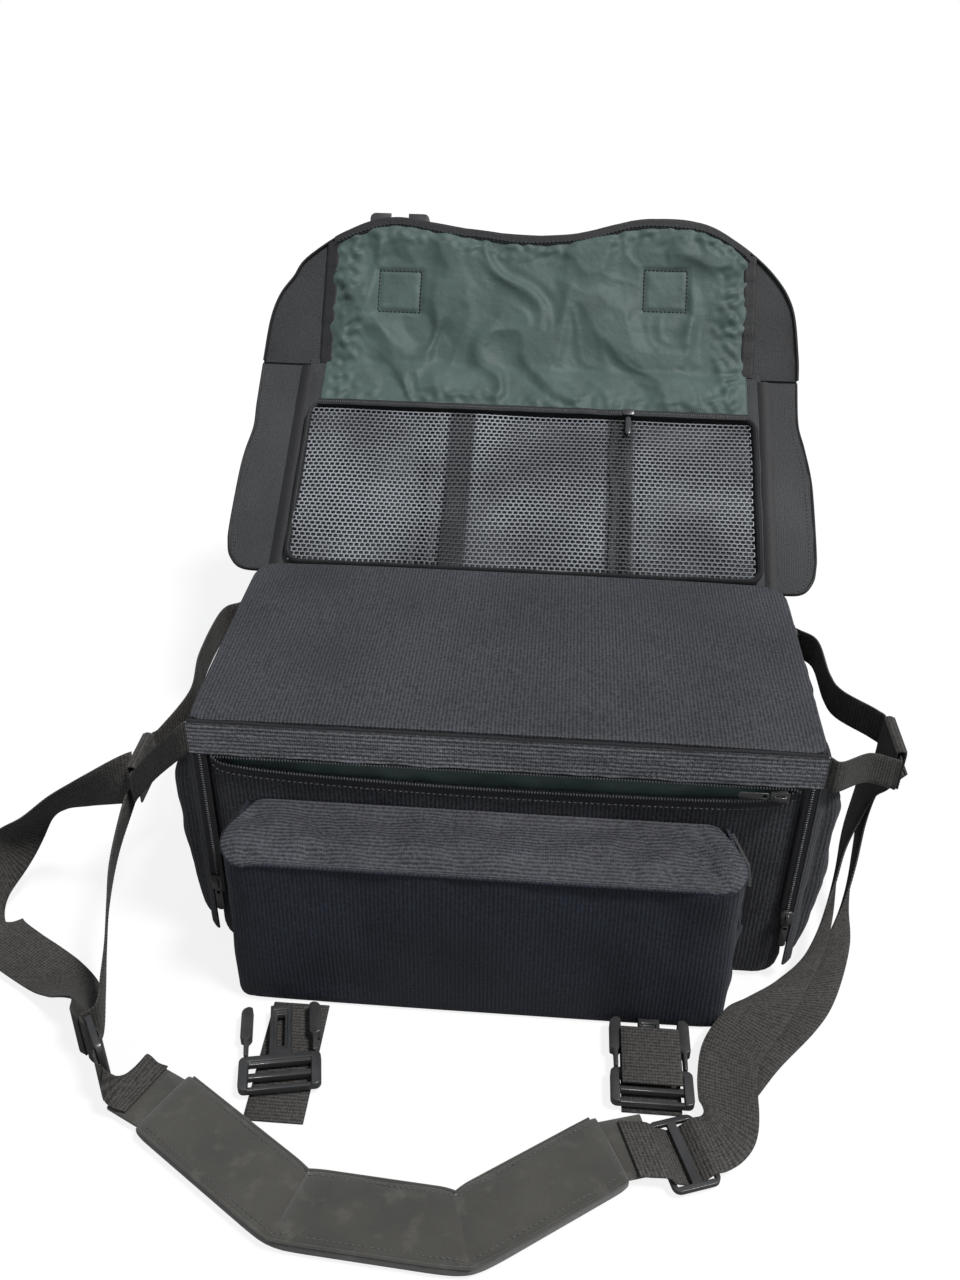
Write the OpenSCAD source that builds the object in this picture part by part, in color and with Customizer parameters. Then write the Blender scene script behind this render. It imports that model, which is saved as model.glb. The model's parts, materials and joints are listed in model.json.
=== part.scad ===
// Padded camera bag with a zipped lid, a draw-over flap, pockets, buckled straps and a shoulder strap.
// Origin: centre of the base on the floor. X runs to the wearer's right in the photograph, Y to the back, Z up.

/* [Body] */
// Width of the bag body, side to side
body_w = 400; // [360:5:440]
// Depth of the bag body, front to back
body_d = 200; // [170:5:230]
// Height of the bag from the floor to the edge of the lid
body_h = 200; // [185:5:225]
// Radius of the body's upright corners
corner_r = 20; // [14:1:28]
// Thickness of the outer fabric
fabric_t = 1.6; // [1.2:0.1:2.2]
// Thickness of the foam in the walls
foam_t = 7; // [5:0.5:9]
// Thickness of the inner lining
lining_t = 1.2; // [0.8:0.1:1.6]
// Thickness of the stiff board in the base
board_t = 3; // [2:0.5:4]
// Room kept between pieces that only touch
gap = 0.4; // [0.3:0.1:0.6]

/* [Lid] */
// Thickness of the padded lid at its edge
lid_t = 16; // [12:1:20]
// Height by which the middle of the lid stands above its edge
lid_dome = 4; // [2:0.5:5]
// Height of each of the lid's two zip tapes
zip_tape_h = 7; // [5:0.5:8]
// Thickness of a zip tape with its coil
zip_tape_t = 1.2; // [1:0.1:1.4]

/* [Dividers] */
// Thickness of a padded divider
divider_t = 9; // [7:0.5:12]
// Height of a padded divider
divider_h = 135; // [110:5:140]
// Distance from the middle of the bag to each divider
divider_x = 66; // [55:1:80]

/* [Front pocket] */
// How far left of the middle the front pocket and the two buckle straps sit
front_shift = 10; // [0:1:14]
// Width of the front pocket along its front edge
pocket_w = 332; // [300:2:336]
// Width of the front pocket where its top meets the body
pocket_back_w = 309; // [290:1:320]
// How far the front pocket stands out from the body
pocket_d = 48; // [40:1:54]
// Height of the front pocket's front edge
pocket_h = 126; // [115:1:130]
// Height at which the pocket's top meets the body
pocket_back_h = 139; // [133:1:142]
// Thickness of the front pocket's padded fabric
pocket_t = 2.6; // [2:0.2:3.2]

/* [Slash pocket] */
// Height of the webbing band along the top of the front
band_h = 24; // [20:1:25]
// Thickness of the thin webbing of the band and the side loops
band_t = 1.8; // [1.4:0.1:2]
// Depth of the pouch behind the slash zip
slash_depth = 8; // [7.5:0.5:9]
// How far the open slash zip gapes at its widest
slash_gape = 15; // [12:0.5:17]

/* [Side pockets] */
// Thickness of each side pocket
side_t = 20; // [16:1:23]
// How far the tops of the side pockets sit below the edge of the lid
side_drop = 34; // [32:1:50]
// Height of the bottom of each side pocket
side_bottom = 22; // [15:1:30]

/* [Flap] */
// How far the seam that joins the flap to the back sits below the edge of the lid
flap_seam_drop = 29; // [27:0.5:31]
// Length of the strip between that seam and the flap panel
strip_len = 48; // [46:0.5:50]
// Length of the flap panel between its two folds
panel_len = 214; // [213:0.5:218]
// Width of the flap panel between the wings
panel_w = 404; // [402:1:406]
// Angle of the strip below the level, as the flap lies open
strip_fall = 12.5; // [11:0.1:14]
// Angle of the flap panel above the level, as the flap lies open
panel_rise = 31.2; // [30:0.1:33]
// Angle between the panel and the apron, as the flap lies open
apron_bend = 20; // [17:0.5:22]
// Thickness of the foam sheet in the flap panel
panel_foam_t = 2.6; // [2:0.1:3]
// Height of the mesh pocket's raised frame
mesh_h = 8; // [6:0.5:8]
// Length of the mesh pocket
mesh_len = 164; // [150:1:170]
// Width of the left wing beyond the panel at its widest
wing_w_left = 45; // [40:1:46]
// Width of the right wing beyond the panel at its widest
wing_w_right = 38; // [34:1:45]
// Reach of the apron's two lobes, from the fold
lobe_reach = 143; // [138:1:146]
// Reach of the apron's dip between the lobes
dip_reach = 127; // [118:1:132]

/* [Webbing and buckles] */
// Width of the webbing of the straps
web_w = 38; // [36:0.5:38]
// Thickness of the webbing of the straps
web_t = 1.6; // [1.4:0.1:1.8]
// How far in from the sides of the body the buckle straps sit
strap_inset = 83.5; // [80:0.5:90]
// Width of the side-release buckles
buckle_w = 52; // [50:0.5:53]
// Thickness of the side-release buckles
buckle_t = 10; // [9:0.5:10.5]
// Length of the male buckle's ladder, its prongs left out
ladder_len = 25; // [23:0.5:26]
// Length of the male buckle's prongs and tongue
prong_len = 40; // [36:0.5:41]
// Length of the female buckle's body
female_len = 40; // [38:0.5:42]

/* [Shoulder strap] */
// Width of the shoulder pad
pad_w = 46; // [44:0.5:47]
// Thickness of the shoulder pad
pad_t = 13; // [10:0.5:14]
// Length of the strap adjusters
adjuster_len = 30; // [29:0.5:31]
// Height of the middle of each adjuster above the floor
adjuster_z = 6; // [5.5:0.1:7]

/* [Hidden] */

nylon = [0.13, 0.14, 0.17];
nylon_dark = [0.09, 0.09, 0.10];
webbing = [0.21, 0.20, 0.19];
green = [0.33, 0.42, 0.36];
plastic = [0.06, 0.06, 0.07];
suede = [0.22, 0.21, 0.19];
foam_grey = [0.35, 0.35, 0.36];
mesh_grey = [0.40, 0.42, 0.45];

half_w = body_w / 2;
half_d = body_d / 2;
rim_z = body_h - lid_t;
side_top = body_h - side_drop;
flap_seam_z = body_h - flap_seam_drop;
arc_step = 15;

// ---- shapes that repeat ----

// Corner points of an arc, from angle a to angle b
function arc(c, r, a, b) =
    [for (k = [0 : round(abs(b - a) / arc_step)])
        let (t = a + (b - a) * k / round(abs(b - a) / arc_step)) [c.x + r * cos(t), c.y + r * sin(t)]];

function round_rect(w, d, r) = concat(
    arc([w / 2 - r, d / 2 - r], r, 0, 90), arc([-w / 2 + r, d / 2 - r], r, 90, 180),
    arc([-w / 2 + r, -d / 2 + r], r, 180, 270), arc([w / 2 - r, -d / 2 + r], r, 270, 360));

module rounded_block(w, d, h, r) {
    linear_extrude(h) polygon(round_rect(w, d, r));
}

module slab(low, high) {
    translate(low) cube(high - low);
}

// An open tray: outer width and depth, its walls, and its floor
module tray(w, d, r, z0, z1, wall, base) {
    difference() {
        translate([0, 0, z0]) rounded_block(w, d, z1 - z0, r);
        translate([0, 0, z0 + base]) rounded_block(w - 2 * wall, d - 2 * wall, z1 - z0, max(r - wall, 2));
    }
}

// A flat ribbon: each step of the route is [middle, direction from one edge to the other].
// Its two broad faces are cut along the same diagonals, so that they stay apart where it twists
module ribbon(route, w, t) {
    n = len(route);
    rings = [for (i = [0 : n - 1])
        let (p = route[i][0],
             along = route[min(i + 1, n - 1)][0] - route[max(i - 1, 0)][0],
             across = route[i][1] / norm(route[i][1]),
             up = cross(along, across) / norm(cross(along, across)),
             k_all = [[-1, -1], [1, -1], [1, 1], [-1, 1]])
        for (k = k_all) p + across * k.x * w / 2 + up * k.y * t / 2];
    walls = [for (i = [0 : n - 2], k = [0 : 3])
        let (a = 4 * i + k, b = 4 * i + (k + 1) % 4)
            each k == 2 ? [[a, a + 4, b + 4], [b, a, b + 4]] : [[a, a + 4, b], [b, a + 4, b + 4]]];
    ends = [[0, 1, 2], [0, 2, 3], [4 * n - 1, 4 * n - 2, 4 * n - 3], [4 * n - 1, 4 * n - 3, 4 * n - 4]];
    polyhedron(rings, concat(walls, ends));
}

// Left and right are mirror images unless a module says otherwise
module on_side(side) {
    if (side < 0) mirror([1, 0, 0]) children();
    else children();
}

// ---- body ----

liner_front = fabric_t + slash_depth;
liner_d = body_d - liner_front - fabric_t;
liner_y = (liner_front - fabric_t) / 2;
liner_w = body_w - 2 * fabric_t;
foam_base_t = foam_t + 1;
tray_top = rim_z - 1;
lining_w = liner_w - 2 * foam_t;
lining_d = liner_d - 2 * foam_t;
lining_z = fabric_t + board_t + foam_base_t;
bay_z = lining_z + lining_t;

// The slash pocket's slot, which sags open below the band
slash_left = -half_w + 14;
slash_right = half_w - 18;
slash_top = body_h - band_h - 3.5;
function slash_lip(drop) = [
    [slash_left, slash_top - 1 - drop], [slash_left + 66, slash_top - 0.55 * slash_gape - drop],
    [-14, slash_top - slash_gape - drop], [slash_right - 62, slash_top - 0.88 * slash_gape - drop],
    [slash_right - 10, slash_top - 0.6 * slash_gape - drop], [slash_right, slash_top - 0.25 * slash_gape - drop]];
slash_slot = concat(slash_lip(0), [[slash_right, slash_top], [slash_left, slash_top]]);

module outer_shell() {
    color(nylon) difference() {
        tray(body_w, body_d, corner_r, 0, rim_z, fabric_t, fabric_t);
        translate([0, -half_d + 2 * fabric_t, 0]) rotate([90, 0, 0])
            linear_extrude(4 * fabric_t) polygon(slash_slot);
    }
}

module base_board() {
    color(nylon_dark) translate([0, liner_y, fabric_t])
        rounded_block(liner_w - 2 * gap, liner_d - 2 * gap, board_t, corner_r - fabric_t);
}

module foam_liner() {
    color(foam_grey) translate([0, liner_y, 0])
        tray(liner_w, liner_d, corner_r - fabric_t, fabric_t + board_t, tray_top, foam_t, foam_base_t);
}

module lining_tray() {
    color(green) translate([0, liner_y, 0])
        tray(lining_w, lining_d, corner_r - foam_t, lining_z, tray_top, lining_t, lining_t);
}

module divider(x) {
    depth = lining_d - 2 * lining_t - 2 * gap;
    color(foam_grey) translate([x - divider_t / 2, liner_y, bay_z + gap]) rotate([90, 0, 90])
        linear_extrude(divider_t) translate([0, divider_h / 2]) polygon(concat(
            arc([depth / 2 - 12, divider_h / 2 - 12], 12, 0, 90),
            arc([-depth / 2 + 12, divider_h / 2 - 12], 12, 90, 180),
            [[-depth / 2, -divider_h / 2], [depth / 2, -divider_h / 2]]));
}

module top_band() {
    color(webbing) slab([-half_w + 1, -half_d - gap - band_t, body_h - 1 - band_h],
                        [half_w - 1, -half_d - gap, body_h - 1]);
}

// ---- side loops, and the fold of strap webbing that hangs in each ----

// Outer end of each loop's bend; the left loop is drawn further forward and down by its strap
loop_end_left = [-half_w - 50, -half_d + 38, body_h - 76];
loop_end_right = [half_w + 54, -half_d + 52, body_h - 38];
function loop_end(side) = side < 0 ? loop_end_left : loop_end_right;

module side_loop(side) {
    up = [0, 0, 1];
    e = loop_end(side);
    reach = abs(e.x) - half_w;
    front_z = body_h - 1 - band_h / 2;
    rear_z = side_top - 4;
    color(webbing) on_side(side) ribbon([
        [[half_w - 0.6, -half_d - gap - band_t / 2, front_z], up],
        [[half_w + 7, -half_d - 1.4, front_z - 0.12 * (front_z - e.z)], up],
        [[half_w + 0.55 * reach, e.y - 31, front_z - 0.5 * (front_z - e.z)], up],
        [[half_w + 0.9 * reach, e.y - 23, front_z - 0.88 * (front_z - e.z)], up],
        [[half_w + reach, e.y - 17.5, e.z], up],
        [[half_w + reach, e.y + 22, e.z], up],
        [[half_w + 0.9 * reach, e.y + 32, e.z + 1], up],
        [[half_w + 0.55 * reach, e.y + 54, 0.5 * (e.z + rear_z)], up],
        [[half_w + side_t + 6, e.y + 80, rear_z - 4], up],
        [[half_w + side_t + 3, side_back - 8, rear_z], up],
        [[half_w + 12, side_back + 6, rear_z], up],
        [[half_w + gap + band_t / 2, side_back + 14, rear_z], up]], band_h, band_t);
}

wrap_r = 2.6;

module strap_wrap(side) {
    across = [0, 1, 0];
    e = loop_end(side);
    x = abs(e.x);
    y = e.y + 2;
    top = e.z + band_h / 2 + 1.4;
    foot = e.z - band_h / 2 - 3;
    color(webbing) on_side(side) ribbon(concat(
        [[[x - wrap_r - 0.4, y, foot], across]],
        [for (a = [180 : -30 : 0]) [[x + wrap_r * 1.15 * cos(a), y, top + wrap_r * sin(a)], across]],
        [[[x + wrap_r * 1.15, y, foot], across]]), web_w, web_t);
}

// ---- lid ----

lid_hinge_z = body_h + 0.5;
lid_inset = 0.3;

module lid_form(inset, z0) {
    w = body_w - 2 * inset;
    d = body_d - 2 * inset;
    r = corner_r - min(inset, 8);
    hull() {
        translate([0, 0, z0]) rounded_block(w, d, body_h - inset - z0, r);
        translate([0, 0, z0]) rounded_block(w - 90, d - 80, body_h + lid_dome - inset - z0, r);
    }
}

module lid_cover() {
    color(nylon) difference() {
        lid_form(lid_inset, rim_z + gap);
        lid_form(lid_inset + fabric_t, rim_z - 1);
    }
}

module lid_lining() {
    color(green) translate([0, 0, rim_z + gap])
        rounded_block(body_w - 2 * (lid_inset + fabric_t + gap), body_d - 2 * (lid_inset + fabric_t + gap),
                      lining_t, corner_r - 3);
}

module lid_foam() {
    color(foam_grey) lid_form(lid_inset + fabric_t + gap, rim_z + gap + lining_t);
}

// The lid's zip runs round the left, the back and the right, and stops short of the front
module zip_ring(z0) {
    difference() {
        translate([0, 0, z0]) rounded_block(body_w + 2 * zip_tape_t, body_d + 2 * zip_tape_t, zip_tape_h, corner_r);
        translate([0, 0, z0 - 1]) rounded_block(body_w, body_d, zip_tape_h + 2, corner_r - 1);
        slab([-half_w - 5, -half_d - 5, z0 - 1], [half_w + 5, -half_d + corner_r, z0 + zip_tape_h + 1]);
    }
}

module lid_zip_lower() {
    color(nylon_dark) zip_ring(rim_z - zip_tape_h);
}

module lid_zip_upper() {
    color(nylon_dark) zip_ring(rim_z + gap);
}

slider_h = 12;
slider_t = 4;

// A zip slider seen flat: body, bridge and, where the tab does not swing by itself, the tab
module zip_slider(with_tab) {
    linear_extrude(slider_t * 0.6) polygon([[-3, -slider_h / 2], [3, -slider_h / 2], [4.6, slider_h / 2 - 2],
                                            [2.4, slider_h / 2], [-2.4, slider_h / 2], [-4.6, slider_h / 2 - 2]]);
    difference() {
        translate([-1.2, -4, slider_t * 0.6]) cube([2.4, 8, 1.6]);
        translate([-2, -2.6, slider_t * 0.6 - 0.01]) cube([4, 5.2, 0.8]);
    }
    if (with_tab) translate([0, -slider_h / 2 - 10, 0.6]) pull_tab();
}

// A pull tab with its eye at the top
module pull_tab() {
    difference() {
        linear_extrude(1.2) polygon(round_rect(5, 20, 2.2));
        translate([0, 6.6, -1]) cylinder(h = 4, r = 1.3, $fn = 24);
    }
}

lid_slider_y = half_d - 38;

module lid_slider(side) {
    color(plastic) on_side(side)
        translate([half_w + zip_tape_t + gap, lid_slider_y, rim_z]) rotate([90, 0, 90]) rotate([0, 0, 90])
            zip_slider(true);
}

// ---- slash pocket ----

module slash_pocket_bag() {
    depth = slash_depth - 2 * gap;
    low = 36;
    color(green) difference() {
        intersection() {
            slab([slash_left - 3, -half_d + fabric_t + gap, low],
                 [slash_right + 3, -half_d + fabric_t + gap + depth, rim_z - 3]);
            rounded_block(body_w - 2 * (fabric_t + gap), body_d - 2 * (fabric_t + gap), body_h,
                          corner_r - fabric_t - gap);
        }
        slab([slash_left - 2, -half_d + fabric_t + gap + 1, low + 1],
             [slash_right + 2, -half_d + fabric_t + gap + depth - 1, rim_z - 4]);
        translate([0, -half_d + fabric_t + gap + 2, 0]) rotate([90, 0, 0])
            linear_extrude(2.5) polygon(slash_slot);
    }
}

module slash_zip() {
    front = -half_d - gap;
    color(nylon_dark) {
        slab([slash_left, front - 1.6, slash_top - 0.5], [slash_right, front, slash_top + 2.2]);
        translate([0, front, 0]) rotate([90, 0, 0]) linear_extrude(1.6) polygon(concat(
            slash_lip(0), [for (k = [5 : -1 : 0]) slash_lip(4)[k]]));
    }
}

slash_slider_x = slash_right - 9;
slash_slider_z = slash_top - 5;

module slash_slider() {
    color(plastic) translate([slash_slider_x, -half_d - 2.6, slash_slider_z])
        rotate([90, 0, 0]) rotate([0, 0, -90]) zip_slider(true);
}

// ---- front pocket ----

pocket_mid = -front_shift;

module pocket_plan(inset, front_inset) {
    r = 16;
    front = -half_d - pocket_d + front_inset;
    w = pocket_w / 2 - inset;
    translate([pocket_mid, 0]) polygon(concat(
        [[-pocket_back_w / 2 + inset, -half_d - gap], [-w, front + r * 1.6]],
        arc([-w + r, front + r], r, 180, 270), arc([w - r, front + r], r, 270, 360),
        [[w, front + r * 1.6], [pocket_back_w / 2 - inset, -half_d - gap]]));
}

// Side view of the pocket below its sloping top
module pocket_side(lower, floor_t) {
    rotate([90, 0, 90]) translate([0, 0, -half_w]) linear_extrude(body_w) polygon([
        [-half_d, floor_t], [-half_d - pocket_d - 1, floor_t],
        [-half_d - pocket_d - 1, pocket_h - lower], [-half_d - pocket_d + 6, pocket_h - lower + 1.5],
        [-half_d, pocket_back_h - lower]]);
}

module front_pocket() {
    color(nylon) difference() {
        intersection() {
            linear_extrude(pocket_back_h) pocket_plan(0, 0);
            pocket_side(pocket_t + gap, 0);
        }
        translate([0, 0.01, pocket_t]) linear_extrude(pocket_back_h) pocket_plan(pocket_t, pocket_t);
        slab([pocket_mid - pocket_back_w / 2 + pocket_t, -half_d - 2, pocket_t],
             [pocket_mid + pocket_back_w / 2 - pocket_t, -half_d + 1, pocket_back_h]);
    }
}

module front_pocket_top() {
    color(nylon) intersection() {
        linear_extrude(body_h) pocket_plan(0, 0);
        difference() {
            pocket_side(0, pocket_t);
            pocket_side(pocket_t, 0);
        }
    }
}

module front_pocket_zips() {
    side_y = -half_d - pocket_d;
    out = pocket_w / 2 + 1.7;
    color(nylon_dark) for (side = [-1, 1])
        ribbon([
            [[pocket_mid + side * (pocket_back_w / 2 + 3.6), -half_d - 4, pocket_back_h - 5], [0, 0.1, 1]],
            [[pocket_mid + side * out, side_y + 26.5, pocket_h - 2], [0, 0.1, 1]],
            [[pocket_mid + side * out, side_y + 20, pocket_h - 4], [0, 0.1, 1]],
            [[pocket_mid + side * out, side_y + 15.5, pocket_h - 8], [0, -1, 1]],
            [[pocket_mid + side * out, side_y + 14.5, pocket_h - 40], [0, -1, 0.1]]], 2.6, 2);
}

// ---- side pockets ----

side_front = -half_d + 4;
side_back = half_d - 24;

function side_plan(inset) = concat(
    [[half_w + gap, side_front + inset], [half_w + 0.55 * side_t, side_front + inset]],
    arc([half_w + side_t - inset - 14, side_front + inset + 18], 14, -60, 0),
    arc([half_w + side_t - inset - 14, side_back - inset - 18], 14, 0, 60),
    [[half_w + 0.4 * side_t, side_back - inset], [half_w + gap, side_back - inset]]);

module side_form(inset) {
    intersection() {
        translate([0, 0, side_bottom + inset])
            linear_extrude(side_top - side_bottom - 2 * inset) polygon(side_plan(inset));
        rotate([90, 0, 0]) translate([0, 0, -half_d]) linear_extrude(body_d) polygon([
            [half_w - 1, side_bottom], [half_w + 0.5 * side_t - inset, side_bottom],
            [half_w + 0.75 * side_t - inset, side_bottom + 26], [half_w + side_t - inset, side_bottom + 60],
            [half_w + side_t - inset, side_top - 22], [half_w + 0.7 * side_t - inset, side_top],
            [half_w - 1, side_top]]);
    }
}

module side_pocket(side) {
    color(nylon) on_side(side) difference() {
        side_form(0);
        translate([-0.01, 0, 0]) side_form(pocket_t);
        slab([half_w, side_front + pocket_t, side_bottom + pocket_t],
             [half_w + gap + 0.2, side_back - pocket_t, side_top - pocket_t]);
    }
}

side_zip_x = half_w - 7;
side_zip_low = 58;
side_zip_top = body_h - 2 - band_h;
side_slider_z = side_zip_low + 5;

module side_zips() {
    color(nylon_dark) for (side = [-1, 1]) on_side(side)
        slab([side_zip_x - 2.5, -half_d - gap - 1.2, side_zip_low], [side_zip_x + 2.5, -half_d - gap, side_zip_top]);
}

module side_slider(side) {
    color(plastic) on_side(side) translate([side_zip_x, -half_d - 2.2, side_slider_z])
        rotate([90, 0, 0]) zip_slider(side < 0);
}

side_pull_z = side_slider_z - slider_h / 2 - gap;
side_pull_y = -half_d - 3.2;

module side_pull_right() {
    color(plastic) translate([side_zip_x, side_pull_y, side_pull_z - 10])
        rotate([90, 0, 0]) pull_tab();
}

// ---- flap: strip, panel, wings and apron, each drawn flat and laid in its own plane ----

flap_y = half_d + 4.5;
strip_end = [0, flap_y + strip_len * cos(strip_fall), flap_seam_z - strip_len * sin(strip_fall)];
panel_end = strip_end + panel_len * [0, cos(panel_rise), sin(panel_rise)];
apron_rise = panel_rise + apron_bend;
flap_fabric_t = fabric_t;
fold_gap = 1.2;

module on_strip() { translate([0, flap_y, flap_seam_z]) rotate([-strip_fall, 0, 0]) children(); }
module on_panel() { translate(strip_end) rotate([panel_rise, 0, 0]) children(); }
module on_apron() { translate(panel_end) rotate([apron_rise, 0, 0]) children(); }

module flap_strip() {
    color(nylon_dark) on_strip()
        slab([-half_w + 6, fold_gap, -flap_fabric_t], [half_w - 6, strip_len - fold_gap, 0]);
}

module flap_panel() {
    color(nylon_dark) on_panel()
        slab([-panel_w / 2 + gap, fold_gap, -flap_fabric_t], [panel_w / 2 - gap, panel_len - fold_gap, 0]);
}

module flap_foam() {
    color(nylon_dark) on_panel() translate([0, panel_len / 2, 0])
        rounded_block(panel_w - 10, panel_len - 8, panel_foam_t, 8);
}

mesh_w = panel_w - 14;
mesh_bar = 5;
mesh_y = 5 + mesh_len / 2;

module mesh_frame() {
    color(nylon_dark) on_panel() translate([0, mesh_y, panel_foam_t]) difference() {
        rounded_block(mesh_w, mesh_len, mesh_h, 7);
        translate([0, 0, -1]) rounded_block(mesh_w - 2 * mesh_bar, mesh_len - 2 * mesh_bar, mesh_h + 2, 4);
    }
}

module mesh_net() {
    color(mesh_grey) on_panel() translate([0, mesh_y, panel_foam_t + mesh_h - 1])
        rounded_block(mesh_w - 2 * mesh_bar, mesh_len - 2 * mesh_bar, 0.8, 4);
}

mesh_zip_y = mesh_y + mesh_len / 2 - mesh_bar / 2;
mesh_zip_z = panel_foam_t + mesh_h;

module mesh_zip() {
    color(plastic) on_panel() slab([-mesh_w / 2 + 6, mesh_zip_y - 2, mesh_zip_z], [mesh_w / 2 - 6, mesh_zip_y + 2, mesh_zip_z + 0.6]);
}

mesh_slider_x = 84;

module mesh_slider() {
    color(plastic) on_panel() translate([mesh_slider_x, mesh_zip_y, mesh_zip_z + 0.6 + gap])
        linear_extrude(1.4) polygon(round_rect(10, 6, 2));
}

mesh_pull_y = mesh_zip_y - 4;

module mesh_pull() {
    color(plastic) on_panel() translate([mesh_slider_x, mesh_pull_y - 9, mesh_zip_z + gap])
        linear_extrude(0.7) polygon(round_rect(4.4, 18, 2));
}

function wing_w(side) = side < 0 ? wing_w_left : wing_w_right;
function apron_half(side) = panel_w / 2 + (side < 0 ? wing_w_left - 4 : wing_w_right - 9);

// Outer edge of a wing: a broad round fall near the seam, and a waist at the fold of the apron
function wing_edge(side) = let (p = panel_w / 2, w = wing_w(side)) [
    [p + gap, 3], [p + 0.62 * w, 4], [p + 0.88 * w, 14], [p + 0.97 * w, 28], [p + w, 45], [p + w, 95],
    [p + 0.97 * w, 118], [p + w - 5, 145], [apron_half(side), 170],
    [apron_half(side) + 1, panel_len - fold_gap], [p + gap, panel_len - fold_gap]];

module wing(side) {
    color(nylon_dark) on_panel() on_side(side) translate([0, 0, -flap_fabric_t])
        linear_extrude(flap_fabric_t + 0.6) polygon(wing_edge(side));
}

// The apron's hem: two lobes with a dip between them
apron_edge = let (l = apron_half(-1), r = apron_half(1), m = lobe_reach, d = dip_reach) [
    [r + 1, fold_gap], [r, 27], [r - 6, 69], [r - 24, 99], [r - 55, 126], [r - 89, m], [r - 124, m + 3],
    [r - 158, m - 2], [r - 190, d + 5], [11, d], [-48, d + 2], [-l + 139, m - 6], [-l + 101, m - 4],
    [-l + 66, m - 18], [-l + 33, m - 43], [-l + 22, m - 61], [-l + 11, 65], [-l + 4, 41], [-l, fold_gap]];

module flap_apron() {
    color(nylon_dark) on_apron() translate([0, 0, -flap_fabric_t])
        linear_extrude(flap_fabric_t) polygon(apron_edge);
}

module apron_lining() {
    p = panel_w / 2;
    color(green) on_apron() linear_extrude(1) polygon([
        [-p + 16, 4], [p - 14, 4], [p - 16, 60], [p - 19, dip_reach - 22], [p - 50, lobe_reach - 18],
        [p - 98, lobe_reach - 9], [p - 138, dip_reach], [11, dip_reach - 12], [-52, dip_reach - 10],
        [-p + 98, lobe_reach - 18], [-p + 56, lobe_reach - 20], [-p + 12, dip_reach - 37]]);
}

// Buckle straps on the outside of the flap, sewn to the apron
strap_mid = pocket_mid - 2.5;
function strap_x(side) = strap_mid + side * (half_w - strap_inset);
female_y = lobe_reach - female_len + 3;
outer_face = -flap_fabric_t - gap;

module flap_strap(side) {
    color(webbing) on_apron()
        slab([strap_x(side) - web_w / 2, 26, outer_face - web_t], [strap_x(side) + web_w / 2, female_y - 13.4, outer_face]);
}

// Female half of a side-release buckle: mouth towards +Y, strap bar towards -Y
module female_buckle(side) {
    w = buckle_w + 2;
    t = buckle_t + 1.4;
    wall = 1.9;
    mouth = web_w + 6;
    color(plastic) on_apron() translate([strap_x(side), female_y, outer_face - web_t / 2 - t / 2 - 0.6]) {
        difference() {
            translate([0, female_len / 2, -t / 2]) rounded_block(w, female_len, t, 5);
            translate([-mouth / 2, 3, -t / 2 + wall]) cube([mouth, female_len, t - 2 * wall]);
            for (s = [-1, 1]) translate([s * (w / 2) - 4, 11, -t / 2 + 1.2]) cube([8, 17, t - 2.4]);
            translate([-8, female_len - 12, t / 2 - wall - 1]) cube([16, 13, wall + 2]);
        }
        difference() {
            translate([0, -5, -2.4]) rounded_block(w - 4, 14, 4.8, 3);
            translate([-web_w / 2 - 1.5, -8, -3]) cube([web_w + 3, 5.5, 6]);
        }
    }
}

// ---- buckle straps under the bag, with the male buckles folded back on them ----

strap_pivot = [0, -half_d - pocket_d - 3, 2];
function strap_run(side) = side < 0 ? 73 : 65;
strap_z = 0.2 + web_t / 2;
tail_len = 17;
buckle_z = strap_z + web_t / 2 + gap + buckle_t / 2 + 0.4;
function bar_y(side) = strap_pivot.y - strap_run(side) + 5;

module lower_strap(side) {
    x = strap_x(side);
    end = strap_pivot.y - strap_run(side) - (side < 0 ? tail_len : 0);
    color(webbing) slab([x - web_w / 2, end, strap_z - web_t / 2], [x + web_w / 2, strap_pivot.y, strap_z + web_t / 2]);
}

// Male half: a ladder with two slots and a grooved tongue; its prongs are nodes of their own
tongue_w = 14;
prong_x = buckle_w / 2 - 4;

// The left buckle lies a little askew on its strap
function buckle_turn(side) = side < 0 ? 11 : 0;
module at_buckle(side) { translate([strap_x(side), bar_y(side), buckle_z]) rotate([0, 0, buckle_turn(side)]) children(); }

module male_buckle(side) {
    slot_w = web_w + 2;
    color(plastic) at_buckle(side) {
        difference() {
            translate([0, ladder_len / 2 - 4, -3]) rounded_block(buckle_w, ladder_len, 6, 4);
            translate([-slot_w / 2, -1, -4]) cube([slot_w, 6, 8]);
            translate([-slot_w / 2, 9, -4]) cube([slot_w, 6, 8]);
            translate([-slot_w / 2, -5, 1.6]) cube([slot_w, ladder_len - 3, 3]);
        }
        difference() {
            translate([-tongue_w / 2, ladder_len - 4 - 0.01, -3]) cube([tongue_w, prong_len - 1, 6]);
            translate([-tongue_w / 2 + 2.6, ladder_len, 1.4]) cube([tongue_w - 5.2, prong_len - 9, 3]);
            translate([-tongue_w / 2 + 4.4, ladder_len + 3, -4]) cube([tongue_w - 8.8, prong_len - 15, 8]);
        }
    }
}

prong_root = ladder_len - 4 + gap;

// A springy arm with its catch; hand is -1 for the arm on the left of the buckle, 1 for the right
module prong(side, hand) {
    color(plastic) at_buckle(side) on_side(hand) translate([0, 0, -buckle_t / 2 + 1])
        linear_extrude(buckle_t - 2) polygon(concat(
            [[prong_x - 1.2, prong_root], [prong_x + 1.2, prong_root], [prong_x + 1.6, prong_root + 13],
             [prong_x + 4, prong_root + 14], [prong_x + 4, prong_root + 20]],
            arc([prong_x - 1, prong_root + prong_len - 6.5], 5, 0, 90),
            [[prong_x - 3.4, prong_root + prong_len - 2.5], [prong_x - 3.4, prong_root + 15],
             [prong_x - 1.2, prong_root + 12]]));
}

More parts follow.
